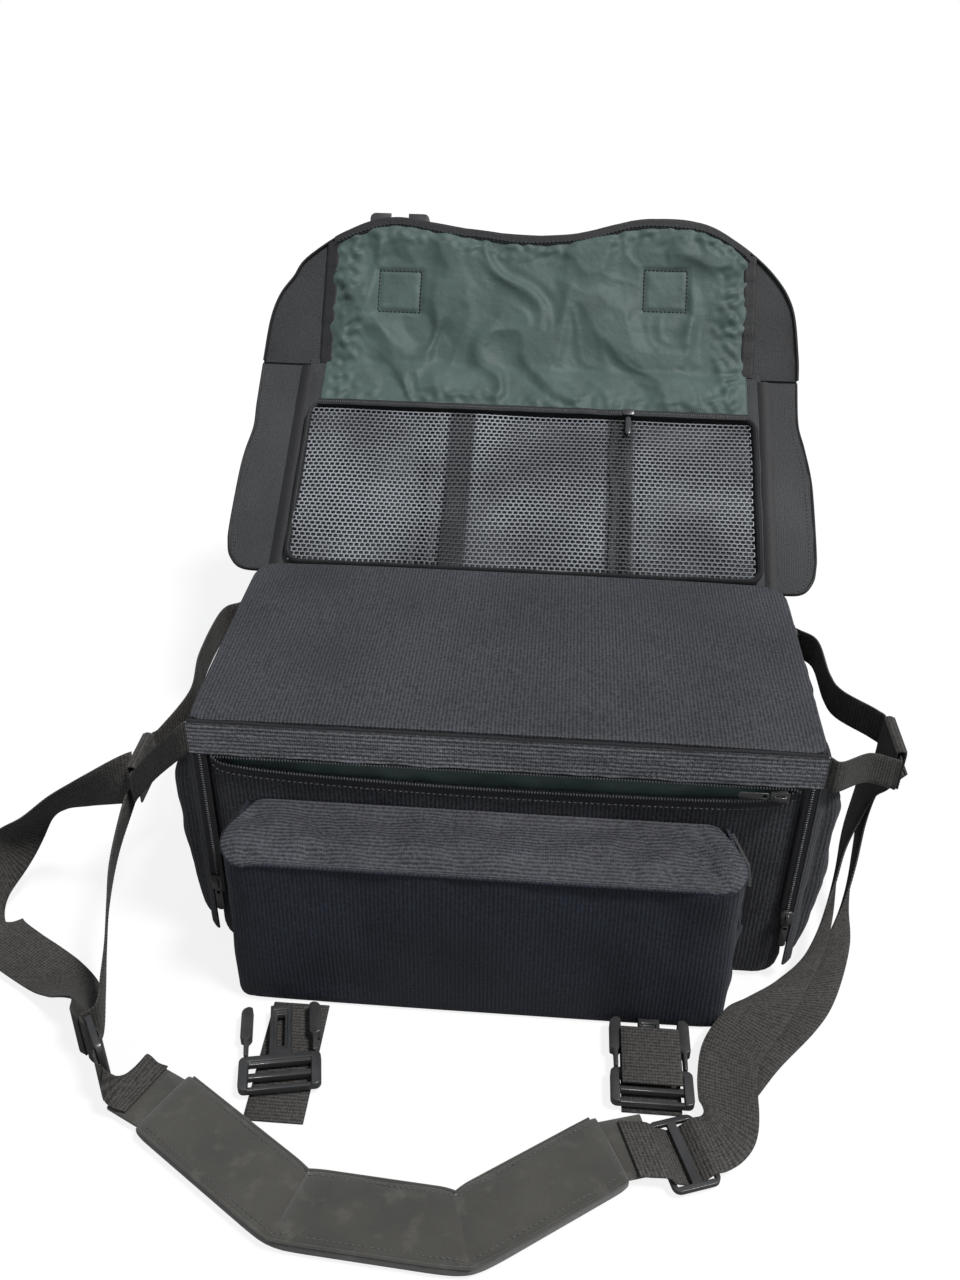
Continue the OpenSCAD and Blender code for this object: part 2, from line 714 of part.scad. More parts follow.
// The right strap's loose end, folded back over its buckle
module strap_tail_right() {
    top = buckle_z + buckle_t / 2 + gap + 0.4;
    start = bar_y(1) + 7;
    color(webbing) slab([strap_x(1) - web_w / 2, start, top], [strap_x(1) + web_w / 2, start + 42, top + web_t]);
}

// ---- shoulder strap ----

// Middle, heading and lean of each adjuster: the left one stands on its edge, the right one lies flat
adjuster_at = [[-half_w - 42, -half_d - 119, web_w / 2 + 5.2], [half_w - 79, -half_d - 145, adjuster_z]];
adjuster_turn = [-56, 199];
adjuster_lean = [90, 0];
slot_x = 7.4;

// A point beside an adjuster: u along the webbing, n above the frame
function beside(k, u, n) = let (t = adjuster_turn[k], l = adjuster_lean[k])
    adjuster_at[k] + u * [cos(t), sin(t), 0] + n * [sin(t) * sin(l), -cos(t) * sin(l), cos(l)];
function across_adjuster(k) = let (t = adjuster_turn[k], l = adjuster_lean[k])
    [-sin(t) * cos(l), cos(t) * cos(l), sin(l)];

module adjuster(k) {
    color(plastic) translate(adjuster_at[k]) rotate([0, 0, adjuster_turn[k]]) rotate([adjuster_lean[k], 0, 0])
        difference() {
            translate([0, 0, -1.8]) rounded_block(adjuster_len, web_w + 9, 3.6, 5);
            for (s = [-1, 1]) translate([s * slot_x - 4.6, -web_w / 2 - 1, -3]) cube([9.2, web_w + 2, 6]);
        }
}

// The webbing's way through an adjuster: in over one bar, under the middle one, out over the third
function threading(k) = let (c = across_adjuster(k), n = 1.8 + web_t / 2) [
    [beside(k, -19, n + 0.8), c], [beside(k, -slot_x - 5.2, n + 0.8), c], [beside(k, -slot_x, 0), c],
    [beside(k, -3, -n - 0.4), c], [beside(k, 3, -n - 0.4), c],
    [beside(k, slot_x, 0), c], [beside(k, slot_x + 5.2, n + 0.8), c]];

// Clear of the fold in the loop, where the hanging webbing starts
hang = wrap_r * 1.15 + web_t + gap;

module shoulder_webbing_right() {
    e = loop_end_right;
    x = e.x + hang;
    k = 1;
    c = across_adjuster(k);
    color(webbing) {
        ribbon(concat([
            [[x, e.y + 2, e.z - 4], [0, 1, 0]], [[x, e.y + 24, e.z - 34], [0, 1, 0]],
            [[x + 1, e.y + 48, 100], [0, 1, 0]], [[x - 1, e.y + 52, 74], [0.1, 1, -0.1]],
            [[x - 8, e.y + 42, 50], [0.2, 1, -0.2]], [[x - 17, e.y + 16, 35], [0.3, 1, 0.1]],
            [[x - 34, e.y - 32, 25], [0.6, 0.8, 0.15]], [[x - 51, e.y - 60, 20], [0.85, 0.5, 0.1]],
            [[x - 70, e.y - 82, 16], [0.85, 0.1, 0]], [[x - 92, e.y - 109, 14], [0.8, -0.6, 0]],
            [[x - 104, e.y - 129, 13], [0.93, -0.37, 0]], [[x - 108, e.y - 149, 12], [0.97, -0.22, 0]],
            [[x - 109, e.y - 166, 11.5], [0.96, -0.28, 0]], [[x - 110, e.y - 178, 11], [0.8, -0.6, 0]],
            [[x - 114, e.y - 186, 10.2], [0.55, -0.83, 0]]],
            threading(k), [[pad_end(k) + [4, -7, 4.5], c], [pad_end(k) + [-6, -7, 4.4], c],
                           [pad_end(k) + [-13, -7, 4.3], c]]), web_w, web_t);
        ribbon([
            [[x + 2.4, e.y + 4, e.z - 4], [0, 1, 0]], [[x + 2.6, e.y + 28, e.z - 34], [0, 1, 0]],
            [[x + 5, e.y + 54, 100], [0, 1, 0]], [[x + 4, e.y + 54, 70], [0.1, 1, -0.1]],
            [[x, e.y + 36, 42], [0.2, 1, -0.1]], [[x - 8, e.y + 12, 26], [0.3, 0.9, 0.15]],
            [[x - 18, e.y - 14, 16], [0.6, 0.8, 0.15]], [[x - 28, e.y - 40, 12], [0.8, 0.4, 0.1]],
            [[x - 45, e.y - 74, 10], [0.85, 0.1, 0]], [[x - 64, e.y - 96, 9], [0.8, -0.4, 0]],
            [[x - 88, e.y - 122, 8.5], [0.75, -0.6, 0]], [[x - 103, e.y - 143, 8], [0.6, -0.8, 0]]], web_w, web_t);
    }
}

module shoulder_webbing_left() {
    e = loop_end_left;
    x = e.x - hang;
    k = 0;
    c = across_adjuster(k);
    color(webbing) {
        ribbon(concat([
            [[x, e.y + 2, e.z - 4], [0, 1, 0]], [[x, e.y - 18, e.z - 14], [0, 1, -0.2]],
            [[x, e.y - 56, 95], [-0.2, 0.8, -0.5]], [[x + 1, e.y - 80, 77], [-0.3, 0.6, -0.7]],
            [[x + 2, e.y - 97, 57], [-0.3, 0.5, -0.8]], [[x + 4, e.y - 115, 41], [-0.2, 0.3, -0.9]],
            [[x + 6, e.y - 134, 28], [-0.1, 0.1, -1]]],
            [for (p = threading(k)) [p[0], -c]],
            [[beside(k, 21, 3.6), -c], [pad_end(k) + [-7, -4, 12], [0.1, 0.36, -0.93]],
             [pad_end(k) + [1, -3, 9.8], [0.35, 0.9, 0.1]], [pad_end(k) + [7, -4, 5.6], [0.4, 0.9, 0]],
             [pad_end(k) + [13, -5, 4.4], across_pad(0)]]), web_w, web_t);
        ribbon([
            [[x - 2.4, e.y - 2, e.z - 6], [0, 0.4, 1]], [[x - 12, e.y - 3, e.z - 9], [0, 0.1, 1]],
            [[x - 29, e.y, 105], [0, -0.2, 1]], [[x - 45, e.y + 2, 96], [0, -0.4, 0.9]],
            [[x - 63, e.y + 3, 86], [0, -0.6, 0.8]], [[x - 80, e.y + 1, 72], [-0.2, -0.7, 0.6]],
            [[x - 96, e.y - 3, 54], [-0.5, -0.4, 0.7]], [[x - 109, e.y - 16, 32], [-0.3, 0.3, 0.9]],
            [[x - 112, e.y - 33, 16], [-0.6, 0.3, 0.6]], [[x - 99, e.y - 52, 8], [-0.6, -0.8, 0]],
            [[x - 80, e.y - 65, 8], [-0.5, -0.8, 0]], [[x - 61, e.y - 76, 8], [-0.5, -0.8, 0]],
            [[x - 43, e.y - 87, 9], [-0.6, -0.8, 0.1]], [[x - 25, e.y - 101, 13], [-0.6, -0.6, 0.4]],
            [[x - 9, e.y - 122, 24], [-0.2, -0.3, 0.9]], [beside(k, -27, 7.5), c],
            [beside(k, -19, 5.6), c]], web_w, web_t);
    }
}

// Middle line of the pad: a flat end flap, three padded sections, and another end flap
pad_z = pad_t / 2 + 1;
pad_line = [[-half_w - 22, -127], [-half_w + 3, -139], [-half_w + 94, -199],
            [half_w - 206, -206], [half_w - 122, -148], [half_w - 99, -141]];
function pad_at(i) = [pad_line[i].x, pad_line[i].y - half_d, pad_z];
function pad_end(k) = k == 0 ? pad_at(0) : pad_at(5);
function across_pad(i) = let (a = pad_at(max(i - 1, 0)), b = pad_at(min(i + 1, 5)))
    [-(b - a).y, (b - a).x, 0];

module shoulder_pad() {
    color(suede) {
        ribbon([[pad_at(0), across_pad(0)], [pad_at(1), across_pad(1)]], pad_w - 6, 5);
        ribbon([for (i = [1 : 4]) [pad_at(i), across_pad(i)]], pad_w, pad_t);
        ribbon([[pad_at(4), across_pad(4)], [pad_at(5), across_pad(5)]], pad_w - 6, 5);
    }
}

outer_shell();
foam_liner();
lining_tray();
base_board();
divider(-divider_x);  // divider_left
divider(divider_x);  // divider_right
top_band();
side_loop(-1);  // side_loop_left
side_loop(1);  // side_loop_right
strap_wrap(-1);  // strap_wrap_left
strap_wrap(1);  // strap_wrap_right
lid_zip_lower();
lid_slider(-1);  // lid_slider_left
lid_slider(1);  // lid_slider_right
lid_cover();
lid_foam();
lid_lining();
lid_zip_upper();
slash_pocket_bag();
slash_zip();
slash_slider();
front_pocket();
front_pocket_top();
front_pocket_zips();
side_pocket(-1);  // side_pocket_left
side_pocket(1);  // side_pocket_right
side_zips();
side_slider(-1);  // side_slider_left
side_slider(1);  // side_slider_right
side_pull_right();
flap_strip();
flap_panel();
flap_foam();
mesh_frame();
mesh_net();
mesh_zip();
mesh_slider();
mesh_pull();
wing(-1);  // wing_left
wing(1);  // wing_right
flap_apron();
apron_lining();
flap_strap(-1);  // flap_strap_left
flap_strap(1);  // flap_strap_right
female_buckle(-1);  // female_buckle_left
female_buckle(1);  // female_buckle_right
lower_strap(-1);  // lower_strap_left
lower_strap(1);  // lower_strap_right
male_buckle(-1);  // male_buckle_left
male_buckle(1);  // male_buckle_right
prong(-1, -1);  // prong_left_outer
prong(-1, 1);  // prong_left_inner
prong(1, 1);  // prong_right_outer
prong(1, -1);  // prong_right_inner
strap_tail_right();
shoulder_webbing_left();
shoulder_webbing_right();
adjuster(0);  // adjuster_left
adjuster(1);  // adjuster_right
shoulder_pad();
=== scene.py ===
"""Looks of a padded camera bag with a draw-over flap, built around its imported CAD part."""

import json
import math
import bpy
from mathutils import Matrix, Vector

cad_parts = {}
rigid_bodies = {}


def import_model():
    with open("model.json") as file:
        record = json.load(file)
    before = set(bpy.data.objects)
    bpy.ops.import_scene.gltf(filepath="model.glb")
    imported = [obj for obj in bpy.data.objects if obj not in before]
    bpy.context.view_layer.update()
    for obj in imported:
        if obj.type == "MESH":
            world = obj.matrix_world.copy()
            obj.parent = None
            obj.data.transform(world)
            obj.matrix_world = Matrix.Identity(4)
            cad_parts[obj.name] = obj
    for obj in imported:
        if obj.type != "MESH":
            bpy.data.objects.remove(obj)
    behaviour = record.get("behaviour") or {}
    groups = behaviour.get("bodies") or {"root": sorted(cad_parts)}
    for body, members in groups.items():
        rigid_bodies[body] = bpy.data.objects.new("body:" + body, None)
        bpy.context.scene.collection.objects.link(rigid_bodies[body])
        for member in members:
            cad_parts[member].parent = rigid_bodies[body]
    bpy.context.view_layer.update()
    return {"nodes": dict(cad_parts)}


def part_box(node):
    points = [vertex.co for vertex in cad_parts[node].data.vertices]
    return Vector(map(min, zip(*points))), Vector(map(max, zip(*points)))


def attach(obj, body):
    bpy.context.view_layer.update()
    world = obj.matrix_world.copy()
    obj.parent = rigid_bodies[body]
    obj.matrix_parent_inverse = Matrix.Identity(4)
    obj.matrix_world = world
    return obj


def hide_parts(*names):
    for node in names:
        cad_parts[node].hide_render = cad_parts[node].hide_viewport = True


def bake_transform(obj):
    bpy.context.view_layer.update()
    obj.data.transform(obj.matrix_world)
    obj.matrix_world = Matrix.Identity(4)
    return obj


bl_info = {
    "name": "Camera bag",
    "version": (1, 0, 0),
    "blender": (4, 5, 0),
    "location": "3D View > Sidebar > Camera bag",
    "description": "Dresses a camera bag's CAD frame in nylon, webbing, lining, net and suede",
    "category": "Object",
}

import bmesh
import bpy
import numpy as np
from mathutils import Matrix, Vector
from mathutils.bvhtree import BVHTree

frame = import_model()
NODES = frame["nodes"]
MM = 0.001
UP = np.array([0.0, 0.0, 1.0])

# ---- camera, as fitted to the photograph's frame ----
PHOTO_W, PHOTO_H = 960, 1280
CAMERA_AT = (0.0240, -0.6737, 0.6465)
CAMERA_TURN, CAMERA_DIP, CAMERA_ROLL = 3.881, 33.219, 0.787
CAMERA_LENS, SENSOR = 33.11, 36.0
SHIFT_X, SHIFT_Y = 0.0, 0.0

# ---- flap folds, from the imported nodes: y, z and rise of each sheet ----
STRIP_AT, STRIP_RISE = (104.5, 171.0), -12.5
PANEL_AT, PANEL_RISE = (151.36, 160.61), 31.2
APRON_AT, APRON_RISE = (334.41, 271.47), 51.2


def low(node):
    """Lowest corner of a CAD node, in millimetres."""
    return np.array(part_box(node)[0]) / MM


def high(node):
    """Highest corner of a CAD node, in millimetres."""
    return np.array(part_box(node)[1]) / MM


def on_sheet(at, rise, x, t, h):
    """Points of a flap sheet: x across, t up the sheet from its fold, h above its face."""
    a = math.radians(rise)
    x, t, h = np.broadcast_arrays(x, t, h)
    return np.stack([x, at[0] + t * math.cos(a) - h * math.sin(a), at[1] + t * math.sin(a) + h * math.cos(a)], -1)


def on_strip(x, t, h):
    return on_sheet(STRIP_AT, STRIP_RISE, x, t, h)


def on_panel(x, t, h):
    return on_sheet(PANEL_AT, PANEL_RISE, x, t, h)


def on_apron(x, t, h):
    return on_sheet(APRON_AT, APRON_RISE, x, t, h)


# ---- shapes ----


def ripple(x, y, seed, longest, shortest, stretch=(1.0, 1.0), count=26):
    """Smooth random waves, about -1 to 1, with wavelengths from longest to shortest in millimetres."""
    rng = np.random.default_rng(seed)
    wave = 1.0 / np.exp(rng.uniform(math.log(shortest), math.log(longest), count))
    way = rng.uniform(0, 2 * math.pi, count)
    phase = rng.uniform(0, 2 * math.pi, count)
    total = np.zeros(np.broadcast(x, y).shape)
    for k, a, p in zip(wave, way, phase):
        total += np.sin(2 * math.pi * k * (math.cos(a) * x / stretch[0] + math.sin(a) * y / stretch[1]) + p)
    return total / math.sqrt(count) * 0.9


def crease(x, y, seed, longest, shortest, stretch=(1.0, 1.0)):
    """Sharp-backed folds, 0 to 1, as in a cloth that was squeezed."""
    return np.clip(1.0 - 1.6 * np.abs(ripple(x, y, seed, longest, shortest, stretch)), 0, 1) ** 1.5


def smooth_line(points, step):
    """A smooth curve through rows of numbers, sampled about every step of its first three columns."""
    pts = np.asarray(points, float)
    ends = np.vstack([2 * pts[0] - pts[1], pts, 2 * pts[-1] - pts[-2]])
    out = []
    for i in range(len(pts) - 1):
        a, b, c, d = ends[i : i + 4]
        n = max(1, int(round(np.linalg.norm((c - b)[:3]) / step)))
        for t in np.arange(n) / n:
            square, cube = 2 * a - 5 * b + 4 * c - d, 3 * b - a - 3 * c + d
            out.append(0.5 * (2 * b + (c - a) * t + square * t**2 + cube * t**3))
    return np.array(out + [pts[-1]])


def straight_line(points, step):
    """The same points joined by straight runs, sampled about every step."""
    pts = np.asarray(points, float)
    out = []
    for b, c in zip(pts[:-1], pts[1:]):
        n = max(1, int(round(np.linalg.norm((c - b)[:3]) / step)))
        out += [b + (c - b) * k / n for k in range(n)]
    return np.array(out + [pts[-1]])


def unit(v):
    return v / np.maximum(np.linalg.norm(v, axis=-1, keepdims=True), 1e-9)


def outline(w, d, r, step, centre=(0.0, 0.0)):
    """Points round a rectangle with rounded corners, anticlockwise from the front's left end."""
    r = max(min(r, w / 2 - 0.1, d / 2 - 0.1), 0.1)
    pts = []
    for k, (sx, sy) in enumerate([(-1, -1), (1, -1), (1, 1), (-1, 1)]):
        for a in np.radians(np.linspace(180 + 90 * k, 270 + 90 * k, 7)):
            pts.append((sx * (w / 2 - r) + r * math.cos(a), sy * (d / 2 - r) + r * math.sin(a)))
    pts.append(pts[0])
    line = straight_line(np.array(pts), step)[:-1]
    return line + np.array(centre)


def shell(p, thick, wrap=False):
    """A closed sheet of cloth over a grid of points, thick millimetres through."""
    nu, nv = p.shape[:2]
    du = (np.roll(p, -1, 0) - np.roll(p, 1, 0)) if wrap else np.gradient(p, axis=0)
    n = unit(np.cross(du, np.gradient(p, axis=1)))
    verts = np.concatenate([(p + n * thick / 2).reshape(-1, 3), (p - n * thick / 2).reshape(-1, 3)])
    index = np.arange(nu * nv).reshape(nu, nv)
    under = index + nu * nv
    if wrap:
        index, under = np.vstack([index, index[:1]]), np.vstack([under, under[:1]])
    quad = lambda a, b, c, d: np.stack([a, b, c, d], -1).reshape(-1, 4)
    faces = [
        quad(index[:-1, :-1], index[1:, :-1], index[1:, 1:], index[:-1, 1:]),
        quad(under[:-1, 1:], under[1:, 1:], under[1:, :-1], under[:-1, :-1]),
        quad(under[:-1, 0], under[1:, 0], index[1:, 0], index[:-1, 0]),
        quad(index[:-1, -1], index[1:, -1], under[1:, -1], under[:-1, -1]),
    ]
    if not wrap:
        faces += [
            quad(index[0, :-1], index[0, 1:], under[0, 1:], under[0, :-1]),
            quad(under[-1, :-1], under[-1, 1:], index[-1, 1:], index[-1, :-1]),
        ]
    along = np.concatenate([[0], np.cumsum(np.linalg.norm(np.diff(p, axis=0), axis=-1).mean(1))])
    over = np.concatenate([[0], np.cumsum(np.linalg.norm(np.diff(p, axis=1), axis=-1).mean(0))])
    uv = np.stack(np.meshgrid(along, over, indexing="ij"), -1).reshape(-1, 2) * MM
    return verts, np.concatenate(faces).tolist(), np.concatenate([uv, uv])


def sweep(line, across, profile, closed=False, swell=None):
    """A closed profile of (across, up) points carried along a line; swell scales it at each step."""
    n, k = len(line), len(profile)
    along = (np.roll(line, -1, 0) - np.roll(line, 1, 0)) if closed else np.gradient(line, axis=0)
    across = unit(np.asarray(across, float) * np.ones((n, 1)))
    up = unit(np.cross(along, across))
    swell = np.ones(n) if swell is None else swell
    rings = (
        line[:, None]
        + across[:, None] * profile[None, :, :1]
        + up[:, None] * profile[None, :, 1:] * swell[:, None, None]
    )
    index = np.arange(n * k).reshape(n, k)
    rows = np.vstack([index, index[:1]]) if closed else index
    nxt = np.roll(rows, -1, 1)
    faces = np.stack([rows[:-1], nxt[:-1], nxt[1:], rows[1:]], -1).reshape(-1, 4).tolist()
    if not closed:
        faces += [index[0, ::-1].tolist(), index[-1].tolist()]
    length = np.concatenate([[0], np.cumsum(np.linalg.norm(np.diff(line, axis=0), axis=-1))])
    uv = np.stack(np.broadcast_arrays(length[:, None], profile[None, :, 0]), -1).reshape(-1, 2) * MM
    return rings.reshape(-1, 3), faces, uv


def flat_profile(width, thick, bulge=0.0):
    """Section of a webbing: flat, with round edges."""
    r, xs = thick / 2, np.linspace(-1, 1, 7) * (width / 2 - thick / 2)
    top = [(x, r * (1 + bulge * (1 - (2 * x / width) ** 2))) for x in xs]
    right = [(width / 2 - thick / 2 + r * math.sin(a), r * math.cos(a)) for a in (math.pi / 3, 2 * math.pi / 3)]
    half = top + right
    return np.array(half + [(-x, -y) for x, y in half])[::-1]


def round_profile(width, height, sides=10):
    a = np.linspace(0, 2 * math.pi, sides, endpoint=False)
    return np.stack([np.cos(a) * width / 2, np.sin(a) * height / 2], -1)


def webbing(route, width, thick, rib=2.2, depth=0.09, step=None):
    """Woven webbing along a route of (point, across), with ribs across it."""
    rows = np.array([list(p) + list(unit(np.array(a, float))) for p, a in route], float)
    line = smooth_line(rows, step or rib / 2)
    swell = 1 + depth * np.where(np.arange(len(line)) % 2, 1.0, -1.0)
    return sweep(line[:, :3], line[:, 3:], flat_profile(width, thick), swell=swell)


# ---- pieces ----


def tag(name):
    """A piece's name in the form that the library takes."""
    return name.lower().replace(" ", "_")


def dress(obj, body, stands_for=()):
    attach(obj, body)
    if stands_for:
        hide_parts(*stands_for)
    return obj


def outward(mesh):
    """Turns a closed mesh's faces outwards."""
    bm = bmesh.new()
    bm.from_mesh(mesh)
    bmesh.ops.recalc_face_normals(bm, faces=bm.faces)
    bm.to_mesh(mesh)
    bm.free()


def make(name, made, material, crisp=40.0):
    """An object from (verts in mm, faces, uv)."""
    verts, faces, uv = made
    mesh = bpy.data.meshes.new(name)
    mesh.from_pydata((np.asarray(verts) * MM).tolist(), [], faces)
    outward(mesh)
    layer = mesh.uv_layers.new(name="UVMap")
    corner = np.zeros(len(mesh.loops), int)
    mesh.loops.foreach_get("vertex_index", corner)
    layer.data.foreach_set("uv", np.asarray(uv, float)[corner].ravel())
    mesh.materials.append(material)
    mesh.shade_smooth()
    mesh.set_sharp_from_angle(angle=math.radians(crisp))
    obj = bpy.data.objects.new(tag(name), mesh)
    bpy.context.scene.collection.objects.link(obj)
    return obj


def hard_copy(name, node, material, edge=0.5, segments=2):
    """A CAD node's solid with its edges rounded, for moulded parts."""
    mesh = NODES[node].data.copy()
    mesh.name = name
    bm = bmesh.new()
    bm.from_mesh(mesh)
    bmesh.ops.remove_doubles(bm, verts=bm.verts, dist=1e-6)
    bmesh.ops.dissolve_limit(bm, angle_limit=math.radians(2), verts=bm.verts, edges=bm.edges)
    bm.to_mesh(mesh)
    bm.free()
    mesh.materials.clear()
    mesh.materials.append(material)
    obj = bpy.data.objects.new(tag(name), mesh)
    bpy.context.scene.collection.objects.link(obj)
    bevel = obj.modifiers.new("Rounded edges", "BEVEL")
    bevel.width, bevel.segments, bevel.limit_method = edge * MM, segments, "ANGLE"
    bevel.angle_limit = math.radians(35)
    bevel.use_clamp_overlap = True
    return settle(obj, 35)


def settle(obj, crisp=40.0):
    """Applies an object's modifiers, and leaves a plain mesh."""
    bpy.context.view_layer.update()
    depsgraph = bpy.context.evaluated_depsgraph_get()
    mesh = bpy.data.meshes.new_from_object(obj.evaluated_get(depsgraph), depsgraph=depsgraph)
    obj.modifiers.clear()
    obj.data = mesh
    mesh.shade_smooth()
    mesh.set_sharp_from_angle(angle=math.radians(crisp))
    return obj


def softened(name, node, material, voxel=4.0, rounds=6, swell=None):
    """A soft copy of a CAD node: remeshed, smoothed, and moved by swell(points, normals) in mm."""
    mesh = NODES[node].data.copy()
    bm = bmesh.new()
    bm.from_mesh(mesh)
    bmesh.ops.remove_doubles(bm, verts=bm.verts, dist=1e-6)
    bm.to_mesh(mesh)
    bm.free()
    obj = bpy.data.objects.new(tag(name), mesh)
    bpy.context.scene.collection.objects.link(obj)
    remesh = obj.modifiers.new("Even faces", "REMESH")
    remesh.mode, remesh.voxel_size = "VOXEL", voxel * MM
    relax = obj.modifiers.new("Soft edges", "SMOOTH")
    relax.factor, relax.iterations = 0.5, rounds
    settle(obj, 180)
    co = np.zeros(len(obj.data.vertices) * 3, np.float32)
    obj.data.vertices.foreach_get("co", co)
    co = co.reshape(-1, 3) / MM
    nor = np.array([v.normal for v in obj.data.vertices])
    co = co + (nor * swell(co, nor)[:, None] if swell else 0)
    obj.data.vertices.foreach_set("co", (co * MM).astype(np.float32).ravel())
    obj.data.materials.clear()
    obj.data.materials.append(material)
    obj.data.update()
    obj.data.shade_smooth()
    return obj


# ---- geometry nodes ----


def node_group(name, sizes):
    """A new geometry tree with a mesh in and out, a material, and sizes as named inputs."""
    tree = bpy.data.node_groups.new(name, "GeometryNodeTree")
    face = tree.interface
    face.new_socket("Geometry", in_out="OUTPUT", socket_type="NodeSocketGeometry")
    face.new_socket("Geometry", in_out="INPUT", socket_type="NodeSocketGeometry")
    face.new_socket("Material", in_out="INPUT", socket_type="NodeSocketMaterial")
    for label, value in sizes.items():
        socket = face.new_socket(label, in_out="INPUT", socket_type="NodeSocketFloat")
        socket.default_value, socket.subtype = value, "DISTANCE"
    return tree, tree.nodes.new("NodeGroupInput"), tree.nodes.new("NodeGroupOutput")


def bead_tree():
    """A small rounded bead on each point, turned by the point's own angles."""
    tree, given, out = node_group("Beads on points", {"Length": 0.003, "Width": 0.0006, "Height": 0.0006})
    link, new = tree.links.new, tree.nodes.new
    bead = new("GeometryNodeMeshIcoSphere")
    bead.inputs["Subdivisions"].default_value = 1
    bead.inputs["Radius"].default_value = 0.5
    turn = new("GeometryNodeInputNamedAttribute")
    turn.data_type = "FLOAT_VECTOR"
    turn.inputs["Name"].default_value = "turn"
    angles = new("FunctionNodeEulerToRotation")
    size = new("ShaderNodeCombineXYZ")
    place = new("GeometryNodeInstanceOnPoints")
    real = new("GeometryNodeRealizeInstances")
    paint = new("GeometryNodeSetMaterial")
    link(turn.outputs["Attribute"], angles.inputs[0])
    for axis, label in zip("XYZ", ("Length", "Width", "Height")):
        link(given.outputs[label], size.inputs[axis])
    link(given.outputs["Geometry"], place.inputs["Points"])
    link(bead.outputs["Mesh"], place.inputs["Instance"])
    link(angles.outputs[0], place.inputs["Rotation"])
    link(size.outputs[0], place.inputs["Scale"])
    link(place.outputs[0], real.inputs[0])
    link(real.outputs[0], paint.inputs["Geometry"])
    link(given.outputs["Material"], paint.inputs["Material"])
    link(paint.outputs[0], out.inputs[0])
    return tree


def net_tree():
    """Round strands along every edge of a mesh."""
    tree, given, out = node_group("Strands on edges", {"Strand": 0.0005})
    link, new = tree.links.new, tree.nodes.new
    lines = new("GeometryNodeMeshToCurve")
    ring = new("GeometryNodeCurvePrimitiveCircle")
    ring.inputs["Resolution"].default_value = 4
    tube = new("GeometryNodeCurveToMesh")
    real = new("GeometryNodeRealizeInstances")
    paint = new("GeometryNodeSetMaterial")
    link(given.outputs["Geometry"], lines.inputs["Mesh"])
    link(lines.outputs[0], tube.inputs["Curve"])
    link(given.outputs["Strand"], ring.inputs["Radius"])
    link(ring.outputs[0], tube.inputs["Profile Curve"])
    link(tube.outputs[0], real.inputs[0])
    link(real.outputs[0], paint.inputs["Geometry"])
    link(given.outputs["Material"], paint.inputs["Material"])
    link(paint.outputs[0], out.inputs[0])
    return tree


def grown(obj, tree, material, sizes, body, stands_for=()):
    """Runs a geometry tree on an object, keeps the result as a plain mesh, and rides it."""
    change = obj.modifiers.new(tree.name, "NODES")
    change.node_group = tree
    for item in tree.interface.items_tree:
        if item.in_out == "INPUT" and item.name in sizes:
            change[item.identifier] = sizes[item.name] * MM
        elif item.in_out == "INPUT" and item.name == "Material":
            change[item.identifier] = material
    settle(obj, 60)
    return dress(obj, body, stands_for)


TREES = {}


def beads(name, rows, size, material, body):
    """Beads of (length, width, height) mm on rows of (points, along, up)."""
    points = np.concatenate([r[0] for r in rows])
    turns = []
    for pts, along, up in rows:
        x = unit(np.asarray(along, float) * np.ones((len(pts), 1)))
        u = np.asarray(up, float) * np.ones((len(pts), 1))
        y = unit(np.cross(u, x))
        z = np.cross(x, y)
        for a, b, c in zip(x, y, z):
            turns.append(Matrix((a, b, c)).transposed().to_euler())
    mesh = bpy.data.meshes.new(name)
    mesh.from_pydata((points * MM).tolist(), [], [])
    attr = mesh.attributes.new("turn", "FLOAT_VECTOR", "POINT")
    attr.data.foreach_set("vector", np.array([list(t) for t in turns], float).ravel())
    obj = bpy.data.objects.new(tag(name), mesh)
    bpy.context.scene.collection.objects.link(obj)
    sizes = dict(zip(("Length", "Width", "Height"), size))
    return grown(obj, TREES["beads"], material, sizes, body)


def along_line(line, pitch, lift=(0, 0, 0)):
    """Even points on a line of positions, with the direction at each."""
    line = np.asarray(line, float)
    gap = np.linalg.norm(np.diff(line, axis=0), axis=1)
    s = np.concatenate([[0], np.cumsum(gap)])
    at = np.arange(pitch / 2, s[-1], pitch)
    pts = np.stack([np.interp(at, s, line[:, k]) for k in range(3)], -1)
    way = np.stack([np.interp(at, s, np.gradient(line[:, k])) for k in range(3)], -1)
    return pts + np.array(lift), way


# ---- finishes ----

FINISH = {}


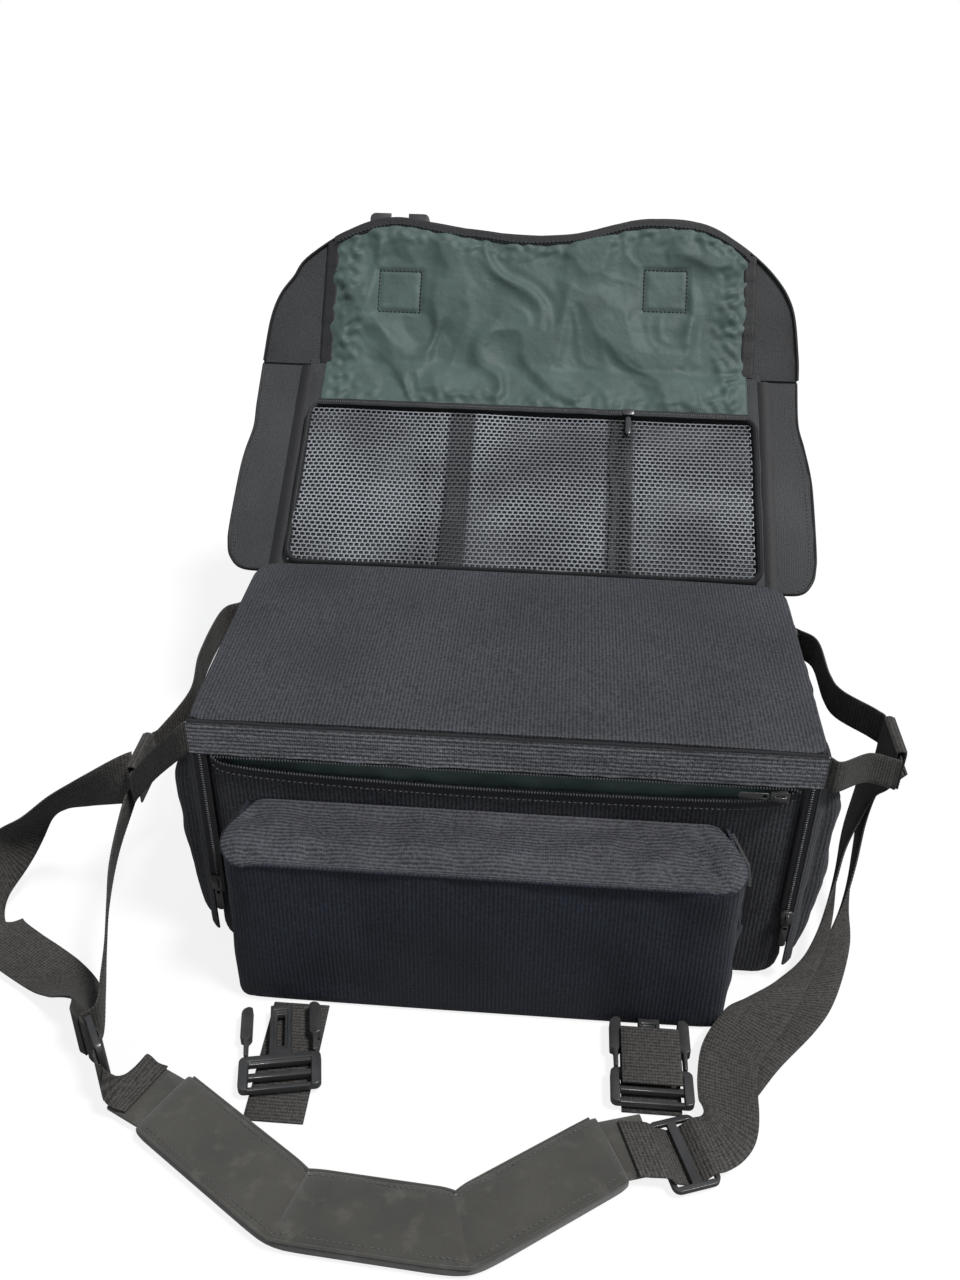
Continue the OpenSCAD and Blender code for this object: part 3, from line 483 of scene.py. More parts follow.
class Board:
    """Short words for a material's node tree."""

    def __init__(self, name):
        self.material = bpy.data.materials.new(name)
        self.material.use_nodes = True
        self.tree = self.material.node_tree
        self.bsdf = self.tree.nodes["Principled BSDF"]
        self.coords = self.tree.nodes.new("ShaderNodeTexCoord")

    def new(self, kind, **values):
        node = self.tree.nodes.new(kind)
        for key, value in values.items():
            setattr(node, key, value)
        return node

    def link(self, a, b):
        self.tree.links.new(a, b)

    def maths(self, operation, a, b=None, clamp=False):
        node = self.new("ShaderNodeMath", operation=operation, use_clamp=clamp)
        for k, value in enumerate((a, b)):
            if isinstance(value, (int, float)):
                node.inputs[k].default_value = value
            elif value is not None:
                self.link(value, node.inputs[k])
        return node.outputs[0]

    def noise(self, scale, detail=3.0, source="Object", stretch=None):
        node = self.new("ShaderNodeTexNoise")
        node.inputs["Scale"].default_value = scale
        node.inputs["Detail"].default_value = detail
        where = self.coords.outputs[source]
        if stretch:
            mapping = self.new("ShaderNodeMapping")
            mapping.inputs["Scale"].default_value = stretch
            self.link(where, mapping.inputs["Vector"])
            where = mapping.outputs[0]
        self.link(where, node.inputs["Vector"])
        return node.outputs["Fac"]

    def ribs(self, axis, pitch, source="UV"):
        """Sine ribs, 0 to 1, that repeat every pitch millimetres along an axis."""
        split = self.new("ShaderNodeSeparateXYZ")
        self.link(self.coords.outputs[source], split.inputs[0])
        wave = self.maths("SINE", self.maths("MULTIPLY", split.outputs[axis], 2 * math.pi / (pitch * MM)))
        return self.maths("ADD", self.maths("MULTIPLY", wave, 0.5), 0.5)

    def tint(self, factor, dark, light, span=(0.35, 0.65)):
        ramp = self.new("ShaderNodeValToRGB")
        for element, at, colour in zip(ramp.color_ramp.elements, span, (dark, light)):
            element.position, element.color = at, (*colour, 1)
        self.link(factor, ramp.inputs["Fac"])
        return ramp.outputs["Color"]

    def shade(self, colour, factor, least):
        """Darkens a colour where factor is low, down to its least share."""
        mix = self.new("ShaderNodeMix", data_type="RGBA", blend_type="MULTIPLY")
        mix.inputs["Factor"].default_value = 1.0
        amount = self.maths("ADD", self.maths("MULTIPLY", factor, 1 - least), least)
        grey = self.new("ShaderNodeCombineColor")
        for channel in ("Red", "Green", "Blue"):
            self.link(amount, grey.inputs[channel])
        self.link(colour, mix.inputs["A"])
        self.link(grey.outputs[0], mix.inputs["B"])
        return mix.outputs["Result"]

    def bump(self, height, depth, strength=1.0):
        node = self.new("ShaderNodeBump")
        node.inputs["Strength"].default_value = strength
        node.inputs["Distance"].default_value = depth * MM
        self.link(height, node.inputs["Height"])
        self.link(node.outputs[0], self.bsdf.inputs["Normal"])

    def surface(self, colour, rough, **fixed):
        self.link(colour, self.bsdf.inputs["Base Color"])
        if isinstance(rough, float):
            self.bsdf.inputs["Roughness"].default_value = rough
        else:
            self.link(rough, self.bsdf.inputs["Roughness"])
        for key, value in fixed.items():
            self.bsdf.inputs[key.replace("_", " ")].default_value = value
        return self.material


def deeper(colour, share):
    return tuple(c * share for c in colour[:3])


def cloth_finish(
    name, colour, ribs, source="UV", rough=0.62, sheen=0.06, least=0.22, depth=0.3, spread=0.62, specular=0.3
):
    """Woven cloth: ribs lists (axis, pitch in mm, weight). Its colour darkens between the threads and lightens on them,
    as painted shade and painted thread highlights.
    """
    b = Board(name)
    height = None
    for axis, pitch, weight in ribs:
        one = b.maths("ADD", b.maths("MULTIPLY", b.ribs(axis, pitch, source), weight), 1 - weight)
        height = one if height is None else b.maths("MULTIPLY", height, one)
    # Slub noise: partly the yarn's own slubs, partly painted glints on the threads.
    slub_and_glint = b.maths("SUBTRACT", b.noise(480, 4.0), 0.5)
    height = b.maths("ADD", height, b.maths("MULTIPLY", slub_and_glint, 1.9))
    tint = b.tint(b.noise(10, 6.0), deeper(colour, spread), colour, (0.3, 0.7))
    # Weave and slub set the colour: painted shade between the threads and painted highlights on them.
    tint = b.shade(tint, b.maths("MULTIPLY", height, 1.0, clamp=True), least)
    b.bump(height, depth)
    return b.surface(tint, rough, Sheen_Weight=sheen, Sheen_Roughness=0.5, Specular_IOR_Level=specular)


def plain_finish(name, colour, rough=0.4, spread=0.7, grain=600, depth=0.02, **fixed):
    """Moulded or spun parts: a little scuffing in the colour and the gloss."""
    b = Board(name)
    scuff = b.noise(60, 6.0)
    tint = b.tint(scuff, deeper(colour, spread), colour)
    gloss = b.maths("ADD", b.maths("MULTIPLY", b.noise(160, 4.0), 0.25), rough - 0.12)
    b.bump(b.noise(grain, 3.0), depth)
    return b.surface(tint, gloss, **fixed)


def suede_finish(name, colour, pale):
    """Worn suede: dark nap, fine grain, and pale rubbed patches."""
    b = Board(name)
    tint = b.tint(b.noise(26, 8.0), deeper(colour, 0.62), colour, (0.3, 0.7))
    rubbed = b.maths("MULTIPLY", b.maths("SUBTRACT", b.noise(75, 9.0), 0.56, clamp=True), 5.0, clamp=True)
    mix = b.new("ShaderNodeMix", data_type="RGBA")
    mix.inputs["B"].default_value = (*pale, 1)
    b.link(rubbed, mix.inputs["Factor"])
    b.link(tint, mix.inputs["A"])
    grain = b.noise(1500, 4.0)
    b.bump(b.maths("ADD", grain, b.noise(260, 4.0)), 0.35)
    return b.surface(b.shade(mix.outputs["Result"], grain, 0.6), 0.9, Sheen_Weight=0.3, Sheen_Roughness=0.6)


def net_finish(name, colour):
    """Net strands, darker in two bands across the net, with light and dark patches."""
    b = Board(name)
    split = b.new("ShaderNodeSeparateXYZ")
    b.link(b.coords.outputs["Object"], split.inputs[0])
    away = [b.maths("ABSOLUTE", b.maths("SUBTRACT", split.outputs["X"], x * MM)) for x in NET_DARK_BANDS]
    near = b.maths("DIVIDE", b.maths("MINIMUM", *away), NET_DARK_BAND_W * MM / 2)
    near = b.maths("SUBTRACT", near, 0.7, clamp=True)
    clear_of_bands = b.maths("MULTIPLY", near, 3.0, clamp=True)
    patch = b.tint(b.noise(11, 4.0), deeper(colour, 0.45), colour, (0.36, 0.62))
    b.bump(b.noise(900, 2.0), 0.05)
    return b.surface(b.shade(patch, clear_of_bands, 0.3), 0.5, Specular_IOR_Level=0.35)


def lining_finish(name, colour):
    """Soft satin lining, with fine creases that run many ways."""
    b = Board(name)
    # The lining's colour darkens in noise patches that stand for its creases: painted shade.
    crease_shade = b.noise(42, 9.0)
    tint = b.tint(crease_shade, deeper(colour, 0.72), colour, (0.3, 0.7))
    creases, weave = b.maths("MULTIPLY", b.noise(70, 6.0), 2.0), b.maths("MULTIPLY", b.noise(1400, 2.0), 0.15)
    b.bump(b.maths("ADD", creases, weave), 0.7)
    return b.surface(tint, 0.58, Sheen_Weight=0.1, Sheen_Roughness=0.5, Specular_IOR_Level=0.35)


def make_finishes(colours):
    """Every material, from the colours in the panel."""
    c = {key: tuple(getattr(colours, key)) for key in colours.__annotations__}
    # The front pocket's nylon is the shell nylon made darker and bluer: painted shade of the pocket's front, which
    # faces away from the light.
    painted_shade_shell = tuple(v * k for v, k in zip(c["shell"], (0.36, 0.44, 0.62)))
    fine = [("X", 1.2, 0.5), ("Y", 1.2, 0.5)]
    FINISH.update(
        lid=cloth_finish("Ribbed lid nylon", c["shell"], [("X", 2.4, 0.8), ("Y", 1.6, 0.5)]),
        shell=cloth_finish("Ribbed nylon", c["shell"], [("X", 2.7, 0.9), ("Y", 1.5, 0.4)]),
        pocket=cloth_finish("Dark ribbed nylon", painted_shade_shell, [("X", 2.7, 0.9), ("Y", 1.5, 0.4)]),
        # The pocket top is the shell nylon made a quarter lighter: painted light on a face that turns up to the lamp.
        top=cloth_finish("Cross-ribbed nylon", deeper(c["shell"], 1.25), [("Y", 2.7, 0.9), ("X", 1.5, 0.4)]),
        flap=cloth_finish("Flap nylon", c["flap"], [("X", 1.6, 0.4), ("Y", 1.6, 0.4)], sheen=0.12, least=0.6),
        wing=cloth_finish("Wing nylon", c["wing"], [("X", 1.6, 0.4), ("Y", 1.6, 0.4)], sheen=0.15, least=0.6),
        web=cloth_finish(
            "Webbing", c["webbing"], [("X", 2.4, 0.8), ("Y", 1.9, 0.5)], rough=0.75, depth=0.35, least=0.3
        ),
        tape=cloth_finish("Binding tape", c["trim"], [("X", 1.1, 0.6)], rough=0.55, depth=0.12, least=0.6),
        # The band colour is partly the band's own grey and partly painted light.
        band=cloth_finish("Band webbing", c["band"], [("Y", 3.0, 0.9), ("X", 1.5, 0.5)], rough=0.6, depth=0.35),
        net=net_finish("Net strands", c["net"]),
        lining=lining_finish("Green lining", c["lining"]),
        inside=cloth_finish("Inner lining", deeper(c["lining"], 0.8), fine, "Object", rough=0.7),
        suede=suede_finish("Worn suede", c["suede"], c["worn"]),
        plastic=plain_finish("Buckle plastic", c["plastic"], 0.32, Specular_IOR_Level=0.6),
        # The coil colour is partly the coils' own and partly painted highlight.
        coil=plain_finish("Zip coil", c["coil"], 0.3, Specular_IOR_Level=0.7),
        metal=plain_finish("Zip slider enamel", deeper(c["plastic"], 0.9), 0.25, Specular_IOR_Level=0.8),
        thread=plain_finish("Sewing thread", c["thread"], 0.6, grain=2000),
        dark_thread=plain_finish("Dark thread", deeper(c["lining"], 0.15), 0.6, grain=2000),
        foam=plain_finish("Foam edge", (0.12, 0.12, 0.12), 0.9, grain=900, depth=0.3),
    )


# ---- pieces of the bag ----

BODY_W, BODY_D, CORNER = 400.0, 200.0, 20.0
SLASH_LIP = [(-186, 171.5), (-174, 164.5), (-120, 159.8), (-14, 156.8), (120, 157.8), (168, 161.5), (182, 168.8)]
SLASH_TOP = 172.5


def lip_height(x):
    """Height of the slash pocket's lower lip across the front."""
    pts = np.array([(-200, 174.5)] + SLASH_LIP + [(200, 174.5)], float)
    return np.interp(x, pts[:, 0], pts[:, 1])


def ring_grid(levels, step=5.0):
    """Rings of rounded rectangles: levels lists (z, width, depth, corner, swell of x, swell of y)."""
    rings = []
    count = max(len(outline(w, d, r, step)) for _, w, d, r, _, _ in levels)
    for z, w, d, r, sx, sy in levels:
        ring = outline(w, d, r, step)
        s = np.concatenate([[0], np.cumsum(np.linalg.norm(np.diff(np.vstack([ring, ring[:1]]), axis=0), axis=1))])
        at = np.linspace(0, s[-1], count, endpoint=False)
        loop = np.vstack([ring, ring[:1]])
        x, y = np.interp(at, s, loop[:, 0]), np.interp(at, s, loop[:, 1])
        x = x + sx * np.sign(x) * np.clip(1 - (2 * y / d) ** 2, 0, 1) * (np.abs(x) > w / 2 - 1)
        y = y + sy * np.sign(y) * np.clip(1 - (2 * x / w) ** 2, 0, 1) * (np.abs(y) > d / 2 - 1)
        rings.append(np.stack([x, y, np.full(count, z)], -1))
    return np.array(rings).transpose(1, 0, 2)


def make_body():
    """Padded walls of the bag, open at the slash pocket, with a floor under them."""
    zs = np.concatenate([[1.2, 0.4, 1.5, 5.0], np.linspace(10, 150, 22), [158, 166, 172, 177]])
    levels = []
    for i, z in enumerate(zs):
        inset = 60 if i == 0 else max(0.0, 6 - z) ** 1.6
        levels.append((z, BODY_W - 2.4 - inset, BODY_D - 2.4 - inset, CORNER, 0.0, 0.0))
    p = ring_grid(levels)
    front = p[:, :, 1] < -BODY_D / 2 + 2
    lip = lip_height(p[:, :, 0])
    high_part = p[:, :, 2] > 100
    p[:, :, 2] = np.where(front & high_part, 100 + (p[:, :, 2] - 100) * (lip - 100) / 77, p[:, :, 2])
    wall = p[:, :, 2] > 12
    side = np.abs(p[:, :, 0]) > BODY_W / 2 - 3
    rough = ripple(p[:, :, 0] + p[:, :, 1], p[:, :, 2], 3, 120, 30)
    p[:, :, 1] += np.where(front & wall, 0.5 * rough, 0) - np.where((p[:, :, 1] > 97) & wall, 0.6 + 0.5 * rough, 0)
    p[:, :, 0] -= np.where(side & wall, np.sign(p[:, :, 0]) * (0.4 + 0.4 * rough), 0)
    obj = make("Body wall cloth", shell(p, 2.0, wrap=True), FINISH["shell"])
    dress(obj, "bag", ["outer_shell"])
    x, y = np.meshgrid(np.linspace(-175, 175, 40), np.linspace(-76, 76, 20), indexing="ij")
    floor = make("Floor cloth", shell(np.stack([x, y, 1.4 + 0 * x], -1), 2.0), FINISH["shell"])
    dress(floor, "bag")


def make_inside():
    """Foam walls, dividers, lining tray and lid padding, seen when the lid is up."""
    quilt = lambda co, n: 0.3 * ripple(co[:, 0] + co[:, 1], co[:, 2], 9, 60, 18)
    for node, name, body, finish, slot in (
        ("foam_liner", "Padded walls", "bag", "inside", "foam"),
        ("divider_left", "Divider padding left", "divider_left", "inside", "foam"),
        ("divider_right", "Divider padding right", "divider_right", "inside", "foam"),
        ("lid_foam", "Lid padding", "lid", "foam", "foam"),
    ):
        tuck = 3.2 if node == "lid_foam" else 0.0
        obj = softened(name, node, FINISH[finish], 3.5, 3, lambda co, n, tuck=tuck: quilt(co, n) - tuck)
        dress(obj, body, [node])
    for node in ("lining_tray", "lid_lining"):
        paint(node, "inside")
    paint("base_board", "foam")


def paint(node, finish):
    """A finish straight on a CAD node that stays in view."""
    obj = NODES[node]
    obj.data.materials.clear()
    obj.data.materials.append(FINISH[finish])


def sharpened(p, share=1.0):
    """Front corners of a rounded rectangle drawn out, as the lid's cloth is at its zip ends."""
    cx, cy = (BODY_W / 2 - CORNER) * share, (BODY_D / 2 - CORNER) * share
    dx, dy = np.maximum(np.abs(p[..., 0]) - cx, 0), np.maximum(-p[..., 1] - cy, 0)
    r = np.maximum(np.hypot(dx, dy), 1e-6)
    k = np.maximum((dx / r) ** 6 + (dy / r) ** 6, 1e-3) ** (-1 / 6) - 1
    k = np.where((dx > 0) & (dy > 0), k, 0)
    p[..., 0] += np.sign(p[..., 0]) * dx * k
    p[..., 1] -= dy * k
    return p


def lid_surface(inset=0.0):
    """The lid's cloth as rings, from the middle of its dome to the hem of its skirt."""
    shares = np.concatenate([[0.001], np.linspace(0.04, 0.96, 22), [0.975, 0.988]])
    levels = [(0, BODY_W * s, BODY_D * s, max(CORNER * s, 0.5), 0, 0) for s in shares]
    p = ring_grid(levels + [(0, BODY_W - 0.8 - inset, BODY_D - 0.8 - inset, CORNER, 0, 0)] * 6, 3.2)
    p = sharpened(p, np.array(shares.tolist() + [1.0] * 6)[None])
    x, y = p[:, :, 0] / (BODY_W / 2), p[:, :, 1] / (BODY_D / 2)
    edge = np.maximum(np.abs(x), np.abs(y))
    z = 203.4 - 2.0 * np.abs(x) ** 4 - 1.6 * np.abs(y) ** 4 - 1.6 * np.clip((edge - 0.95) / 0.05, 0, 1) ** 2
    z += (0.7 * ripple(p[:, :, 0], p[:, :, 1], 11, 160, 50) - 0.5) * np.clip((0.97 - edge) / 0.1, 0, 1)
    for k, drop in enumerate((195.6, 194.2, 192, 189.5, 187, 185.4)):
        z[:, -6 + k] = np.minimum(z[:, -6 + k] - 1.2, drop) if k == 0 else drop
    p[:, :, 2] = z
    return p


def make_lid():
    """Domed lid, with piping round its edge."""
    p = lid_surface(1.6)
    p[:, :, 1] = np.maximum(p[:, :, 1], -98.4)
    verts, faces, _ = shell(p, 1.6, wrap=True)
    obj = make("Lid cloth", (verts, faces, verts[:, :2] * MM), FINISH["lid"])
    dress(obj, "lid", ["lid_cover"])
    ring = outline(BODY_W - 1.6, BODY_D - 1.6, CORNER, 3.0)
    line = sharpened(np.column_stack([ring, np.full(len(ring), 195.2)]))
    keep = line[:, 1] > -96
    line = np.roll(line, -int(np.argmin(keep)), 0)
    line = line[line[:, 1] > -96]
    piping = make("Lid piping", sweep(line, UP, round_profile(2.6, 2.6, 8)), FINISH["tape"])
    dress(piping, "lid")


def make_lid_zip(trim):
    """Two zip tapes round the lid's edge, and their coils."""
    for node, body, lo, hi, name in (
        ("lid_zip_lower", "bag", 177.2, 183.6, "Lower lid zip"),
        ("lid_zip_upper", "lid", 184.8, 191.2, "Upper lid zip"),
    ):
        ring = outline(BODY_W + 1.2, BODY_D + 1.2, CORNER, 3.2)
        line = np.column_stack([ring, np.full(len(ring), 0.0)])
        start = int(np.argmax((line[:, 0] < -190) & (line[:, 1] < -78)))
        line = np.roll(line, -start, 0)
        line = line[line[:, 1] > -79]
        order = np.argsort(np.arctan2(line[:, 0], line[:, 1] + 200))
        line = line[order]
        z = np.array([lo, (lo + hi) / 2, hi])
        x, y = np.repeat(line[:, :2], 3, 0).T
        p = np.stack([x, y, np.tile(z, len(line))], -1)
        tape = make(name + " tape", shell(p.reshape(len(line), 3, 3), 1.0), FINISH["tape"])
        dress(tape, body, [node])
        inner = hi - 0.7 if body == "bag" else lo + 0.7
        centre = np.column_stack([line[:, :2] * 1.0015, np.full(len(line), inner)])
        pts, way = along_line(centre, trim.coil_pitch / MM)
        out = unit(np.column_stack([way[:, 1], -way[:, 0], 0 * way[:, 0]]))
        beads(name + " coil", [(pts, UP, -out)], (1.9, 0.9, 1.0), FINISH["coil"], body)


def pocket_outline(z, bulge=1.0):
    """Plan of the front pocket at a height, anticlockwise from its back left corner."""
    s = np.clip(z / 126.0, 0, 1)
    puff = bulge * (5.2 * np.sin(math.pi * np.clip(s, 0.04, 1) ** 0.8) + 1.0)
    half = 163.5 + 0.5 * s
    r = 9.0 + 6.0 * s
    back = 155.0 + 2.0 * math.sin(math.pi * s)
    front_y = -147.2 + 1.2 * s
    x = np.linspace(-half + 14, half - 14, 56)
    front = [(a - 10, front_y - puff * (1 - (a / half) ** 4)) for a in x]
    arc = np.radians(np.linspace(-90, 0, 8))
    right = [(half - r - 10 + r * math.cos(a), front_y + r + r * math.sin(a)) for a in arc][1:]
    left = [(-(half - r) - 10 - r * math.cos(a), front_y + r + r * math.sin(a)) for a in arc[::-1]][:-1]
    gusset = np.linspace(0.12, 1, 9)
    full = lambda side: (7.5 if side > 0 else 4.5) * math.sin(math.pi * min(s + 0.12, 1.0))
    wall = lambda side: [
        (
            side * (half + (back - half) * g + full(side) * math.sin(math.pi * g)) - 10,
            front_y + r + (-101.2 - front_y - r) * g,
        )
        for g in gusset
    ]
    return np.array(wall(-1)[::-1] + left + front + right + wall(1))


def make_front_pocket():
    """Front pocket: a puffed face with soft gussets, open at its top."""
    zs = np.concatenate([[0.7, 2.0, 5.0], np.linspace(9, 118, 34), [121.5, 124, 125.6]])
    p = []
    for z in zs:
        ring = pocket_outline(z, 0.55)
        tuck = 2.5 * max(0, 1 - z / 7.0) ** 2
        ring[:, 1] += tuck * (ring[:, 1] < -120)
        side_rise = np.clip((ring[:, 1] + 146) / 45.0, 0, 1) * 11 * np.clip((z - 60) / 66, 0, 1)
        p.append(np.column_stack([ring, z + side_rise]))
    p = np.array(p).transpose(1, 0, 2)
    face = np.clip((-128 - p[:, :, 1]) / 12, 0, 1)
    x, z = p[:, :, 0], p[:, :, 2]
    waves = 1.5 * ripple(x, z, 21, 150, 40, (1, 1.4)) + 0.7 * crease(x, z, 24, 70, 22, (1, 2.2)) * np.clip(z / 60, 0, 1)
    p[:, :, 1] = np.maximum(p[:, :, 1] - face * waves * np.clip(z / 20, 0, 1) * np.clip((140 - z) / 20, 0, 1), -151.5)
    p[:, :, 1] = np.minimum(p[:, :, 1], -101.4)
    gusset = 1 - face
    p[:, :, 0] += gusset * np.sign(x + 10) * 1.6 * ripple(p[:, :, 1], z, 28, 70, 24) * np.clip((140 - z) / 30, 0, 1)
    obj = make("Front pocket cloth", shell(p, 1.8), FINISH["pocket"])
    dress(obj, "bag", ["front_pocket"])
    x, t = np.meshgrid(np.linspace(-1, 1, 60), np.linspace(0, 1, 5), indexing="ij")
    under = np.stack([x * 150 - 10, -105 - 38 * t, 1.5 + 0 * x], -1)
    dress(make("Pocket floor", shell(under, 1.6), FINISH["pocket"]), "bag")


def pocket_top_at(x, t, lift=0.0):
    """The front pocket's top panel: x from -1 to 1, t from its hinge to its front edge."""
    half = 149.0 + 15.5 * np.sin(np.clip(t / 0.75, 0, 1) * math.pi / 2)
    edge = np.clip((t - 0.66) / 0.34, 0, 1)
    half = half - 15.0 * (1 - np.sqrt(np.clip(1 - edge**2, 0, 1)))
    px = x * half - 10
    py = -101.6 - 46.5 * t
    pz = 138.9 - 6.4 * t - 6.4 * t**5 - 2.5 * np.clip((np.abs(x) - 0.93) / 0.07, 0, 1) ** 2
    crown = (1.2 * np.exp(-(((t - 0.72) / 0.2) ** 2)) - 1.4 * np.exp(-(((t - 0.2) / 0.16) ** 2))) * (1 - x**6)
    ends = np.clip((np.abs(x) - 0.45) / 0.4, 0, 1)
    creases = crease(px + 0.8 * py, py, 33, 70, 24, (0.6, 2.2))
    folds = 1.3 * ripple(px, py * 1.6, 31, 110, 30) - 2.6 * creases * (0.25 + 0.75 * ends) - 0.6
    fade = np.clip(t / 0.15, 0, 1) * np.clip((1 - t) / 0.1, 0, 1) * np.clip((1 - np.abs(x)) / 0.05, 0, 1)
    return np.stack([px, py, pz + (crown + folds) * fade + lift], -1)


def make_pocket_top():
    """Hinged top of the front pocket, bound round its edge."""
    x, t = np.meshgrid(np.linspace(-1, 1, 110), np.linspace(0, 1, 26), indexing="ij")
    obj = make("Front pocket top cloth", shell(pocket_top_at(x, t), 1.8), FINISH["top"])
    dress(obj, "pocket_top", ["front_pocket_top"])
    run = np.concatenate([np.linspace(0.04, 0.97, 24), np.full(90, 1.0), np.linspace(0.97, 0.04, 24)])
    across = np.concatenate([np.full(24, -1.0), np.linspace(-0.995, 0.995, 90), np.full(24, 1.0)])
    edge = pocket_top_at(across, run)
    edge[:, 2] -= 0.6
    piping = make("Pocket top piping", sweep(edge, UP, round_profile(2.4, 2.4, 8)), FINISH["pocket"])
    dress(piping, "pocket_top")
    paint("front_pocket_zips", "tape")


def make_side_pockets():
    """Soft side pockets, puffed between their seams, and the gussets that join them to the front."""
    for side, name in ((-1, "left"), (1, "right")):
        node = f"side_pocket_{name}"
        lo, hi = low(node), high(node)
        u, v = np.meshgrid(np.linspace(-1, 1, 80), np.linspace(0, 1, 60), indexing="ij")
        y = (lo[1] + hi[1]) / 2 + u * (hi[1] - lo[1] - 1.6) / 2
        z = lo[2] + 0.8 + v * (hi[2] - lo[2] - 1.6)
        puff = np.interp(z, [22, 48, 82, 144, 166], [9.4, 13.6, 18.2, 18.2, 12.6])
        closed = np.clip(1 - np.abs(u) ** 12, 0, 1) ** 0.5 * np.clip(1 - np.abs(2 * v - 1) ** 22, 0, 1) ** 0.5
        slack = 1.3 * ripple(y, z, 41 + side, 90, 26) + 1.6 * crease(y + 0.5 * z, z, 43 + side, 90, 34, (0.7, 1.8))
        reach = np.clip(puff - slack * closed, 2.0, 18.6)
        x = side * (BODY_W / 2 + 0.9 + reach * closed)
        obj = make(f"Side pocket cloth {name}", shell(np.stack([x, y, z], -1), 1.5), FINISH["shell"])
        dress(obj, "bag", [node])
        s, v = np.meshgrid(np.linspace(0, 1, 7), np.linspace(0, 1, 50), indexing="ij")
        z = 16 + v * 158
        x = side * (197.0 + 6.5 * s + 0.5 * ripple(z, s, 45 + side, 60, 20) * s)
        y = -101.6 + 7.0 * s**1.4
        gusset = make(f"Side gusset {name}", shell(np.stack([x, y, z], -1), 1.2), FINISH["shell"])
        dress(gusset, "bag")


def make_band():
    """Webbing band across the top of the front, with a binding along its top."""
    x, z = np.meshgrid(np.linspace(-199, 199, 360), np.linspace(174.2, 198.6, 11), indexing="ij")
    wavy = 0.5 * ripple(x, 0 * x, 51, 60, 18)
    zz = z + wavy * (z < 176)
    y = -101.4 - 0.35 * ripple(x, z * 3, 52, 70, 16) * np.clip((198 - z) / 6, 0, 1)
    obj = make("Band webbing", shell(np.stack([x, np.clip(y, -102.0, -100.9), zz], -1), 1.3), FINISH["band"])
    dress(obj, "bag", ["top_band"])
    crest = np.column_stack([np.linspace(-198, 198, 130), np.full(130, -100.6), np.full(130, 198.9)])
    crest[:, 2] += 0.4 * ripple(crest[:, 0], 0 * crest[:, 0], 53, 70, 20)
    dress(make("Band binding", sweep(crest, (0, 1, 0), round_profile(3.0, 2.2, 8)), FINISH["tape"]), "bag")


def make_slash_pocket(trim):
    """Slash pocket behind the front wall: its lining, zip tapes, and two rows of coil."""
    x, v = np.meshgrid(np.linspace(-178, 178, 180), np.linspace(0, 1, 14), indexing="ij")
    z = 120 + (179 - 120) * v
    y = -93.6 - 1.4 * ripple(x, z, 61, 80, 18) * np.clip(v * 4, 0, 1)
    lining = make("Slash pocket lining", shell(np.stack([x, np.clip(y, -96.5, -91.6), z], -1), 1.2), FINISH["lining"])
    dress(lining, "bag", ["slash_pocket_bag"])
    x, v = np.meshgrid(np.linspace(-178, 178, 140), np.linspace(0, 1, 8), indexing="ij")
    z = 36 + (lip_height(x) - 4 - 36) * v
    back = make("Slash pocket back", shell(np.stack([x, -97.6 + 0 * x, z], -1), 0.8), FINISH["lining"])
    dress(back, "bag")
    lower = np.array([(a, -101.2, b) for a, b in SLASH_LIP])
    lower = smooth_line(lower, 3.0)
    upper = np.array([(a, -101.2, SLASH_TOP + 0.6) for a in np.linspace(-186, 182, 120)])
    upper = smooth_line(np.vstack([upper, (186, -101.2, 171.0)]), 3.0)
    rows = []
    for line, turn in ((lower, -1), (upper, 1)):
        tape = line + np.array([0, 0, 1.6 * turn])
        piece = sweep(tape, UP, flat_profile(5.0, 1.0))
        tape = make(f"Slash tape {'lower' if turn < 0 else 'upper'}", piece, FINISH["tape"])
        dress(tape, "bag", ["slash_zip"])
        pts, way = along_line(line + np.array([0, -0.7, -1.1 * turn]), trim.coil_pitch / MM)
        rows.append((pts, UP, (0, -1, 0)))
        if turn < 0:
            pts, way = along_line(line + np.array([0, -0.5, -5.5]), trim.stitch_pitch / MM)
            beads("Slash stitches", [(pts, way, (0, -1, 0))], stitch_size(trim), FINISH["thread"], "bag")
    beads("Slash zip coils", rows, (2.6, 1.1, 1.4), FINISH["coil"], "bag")


def make_sliders():
    """Zip sliders and pulls."""
    for node, body in (
        ("lid_slider_left", "lid_slider_left"),
        ("lid_slider_right", "lid_slider_right"),
        ("slash_slider", "slash_slider"),
        ("side_slider_left", "side_slider_left"),
        ("side_slider_right", "side_slider_right"),
        ("side_pull_right", "side_pull"),
        ("mesh_slider", "mesh_slider"),
        ("mesh_pull", "mesh_pull"),
    ):
        obj = hard_copy(f"{node} casting", node, FINISH["metal"], 0.35)
        dress(obj, body, [node])


def make_side_zips(trim):
    """Zips down the body's front corners, beside the front pocket."""
    for x in (-193, 193):
        z = np.linspace(58, 174, 40)
        line = np.column_stack([np.full(40, x), np.full(40, -101.3), z])
        name = "left" if x < 0 else "right"
        tape = make(f"Side zip tape {name}", sweep(line, (1, 0, 0), flat_profile(9.0, 1.0)), FINISH["tape"])
        dress(tape, "bag", ["side_zips"])
        pts, way = along_line(line + np.array([0, -0.7, 0]), trim.coil_pitch / MM)
        beads(f"Side zip coil {name}", [(pts, (1, 0, 0), (0, -1, 0))], (2.6, 0.95, 1.1), FINISH["coil"], "bag")


# ---- the flap, drawn back ----

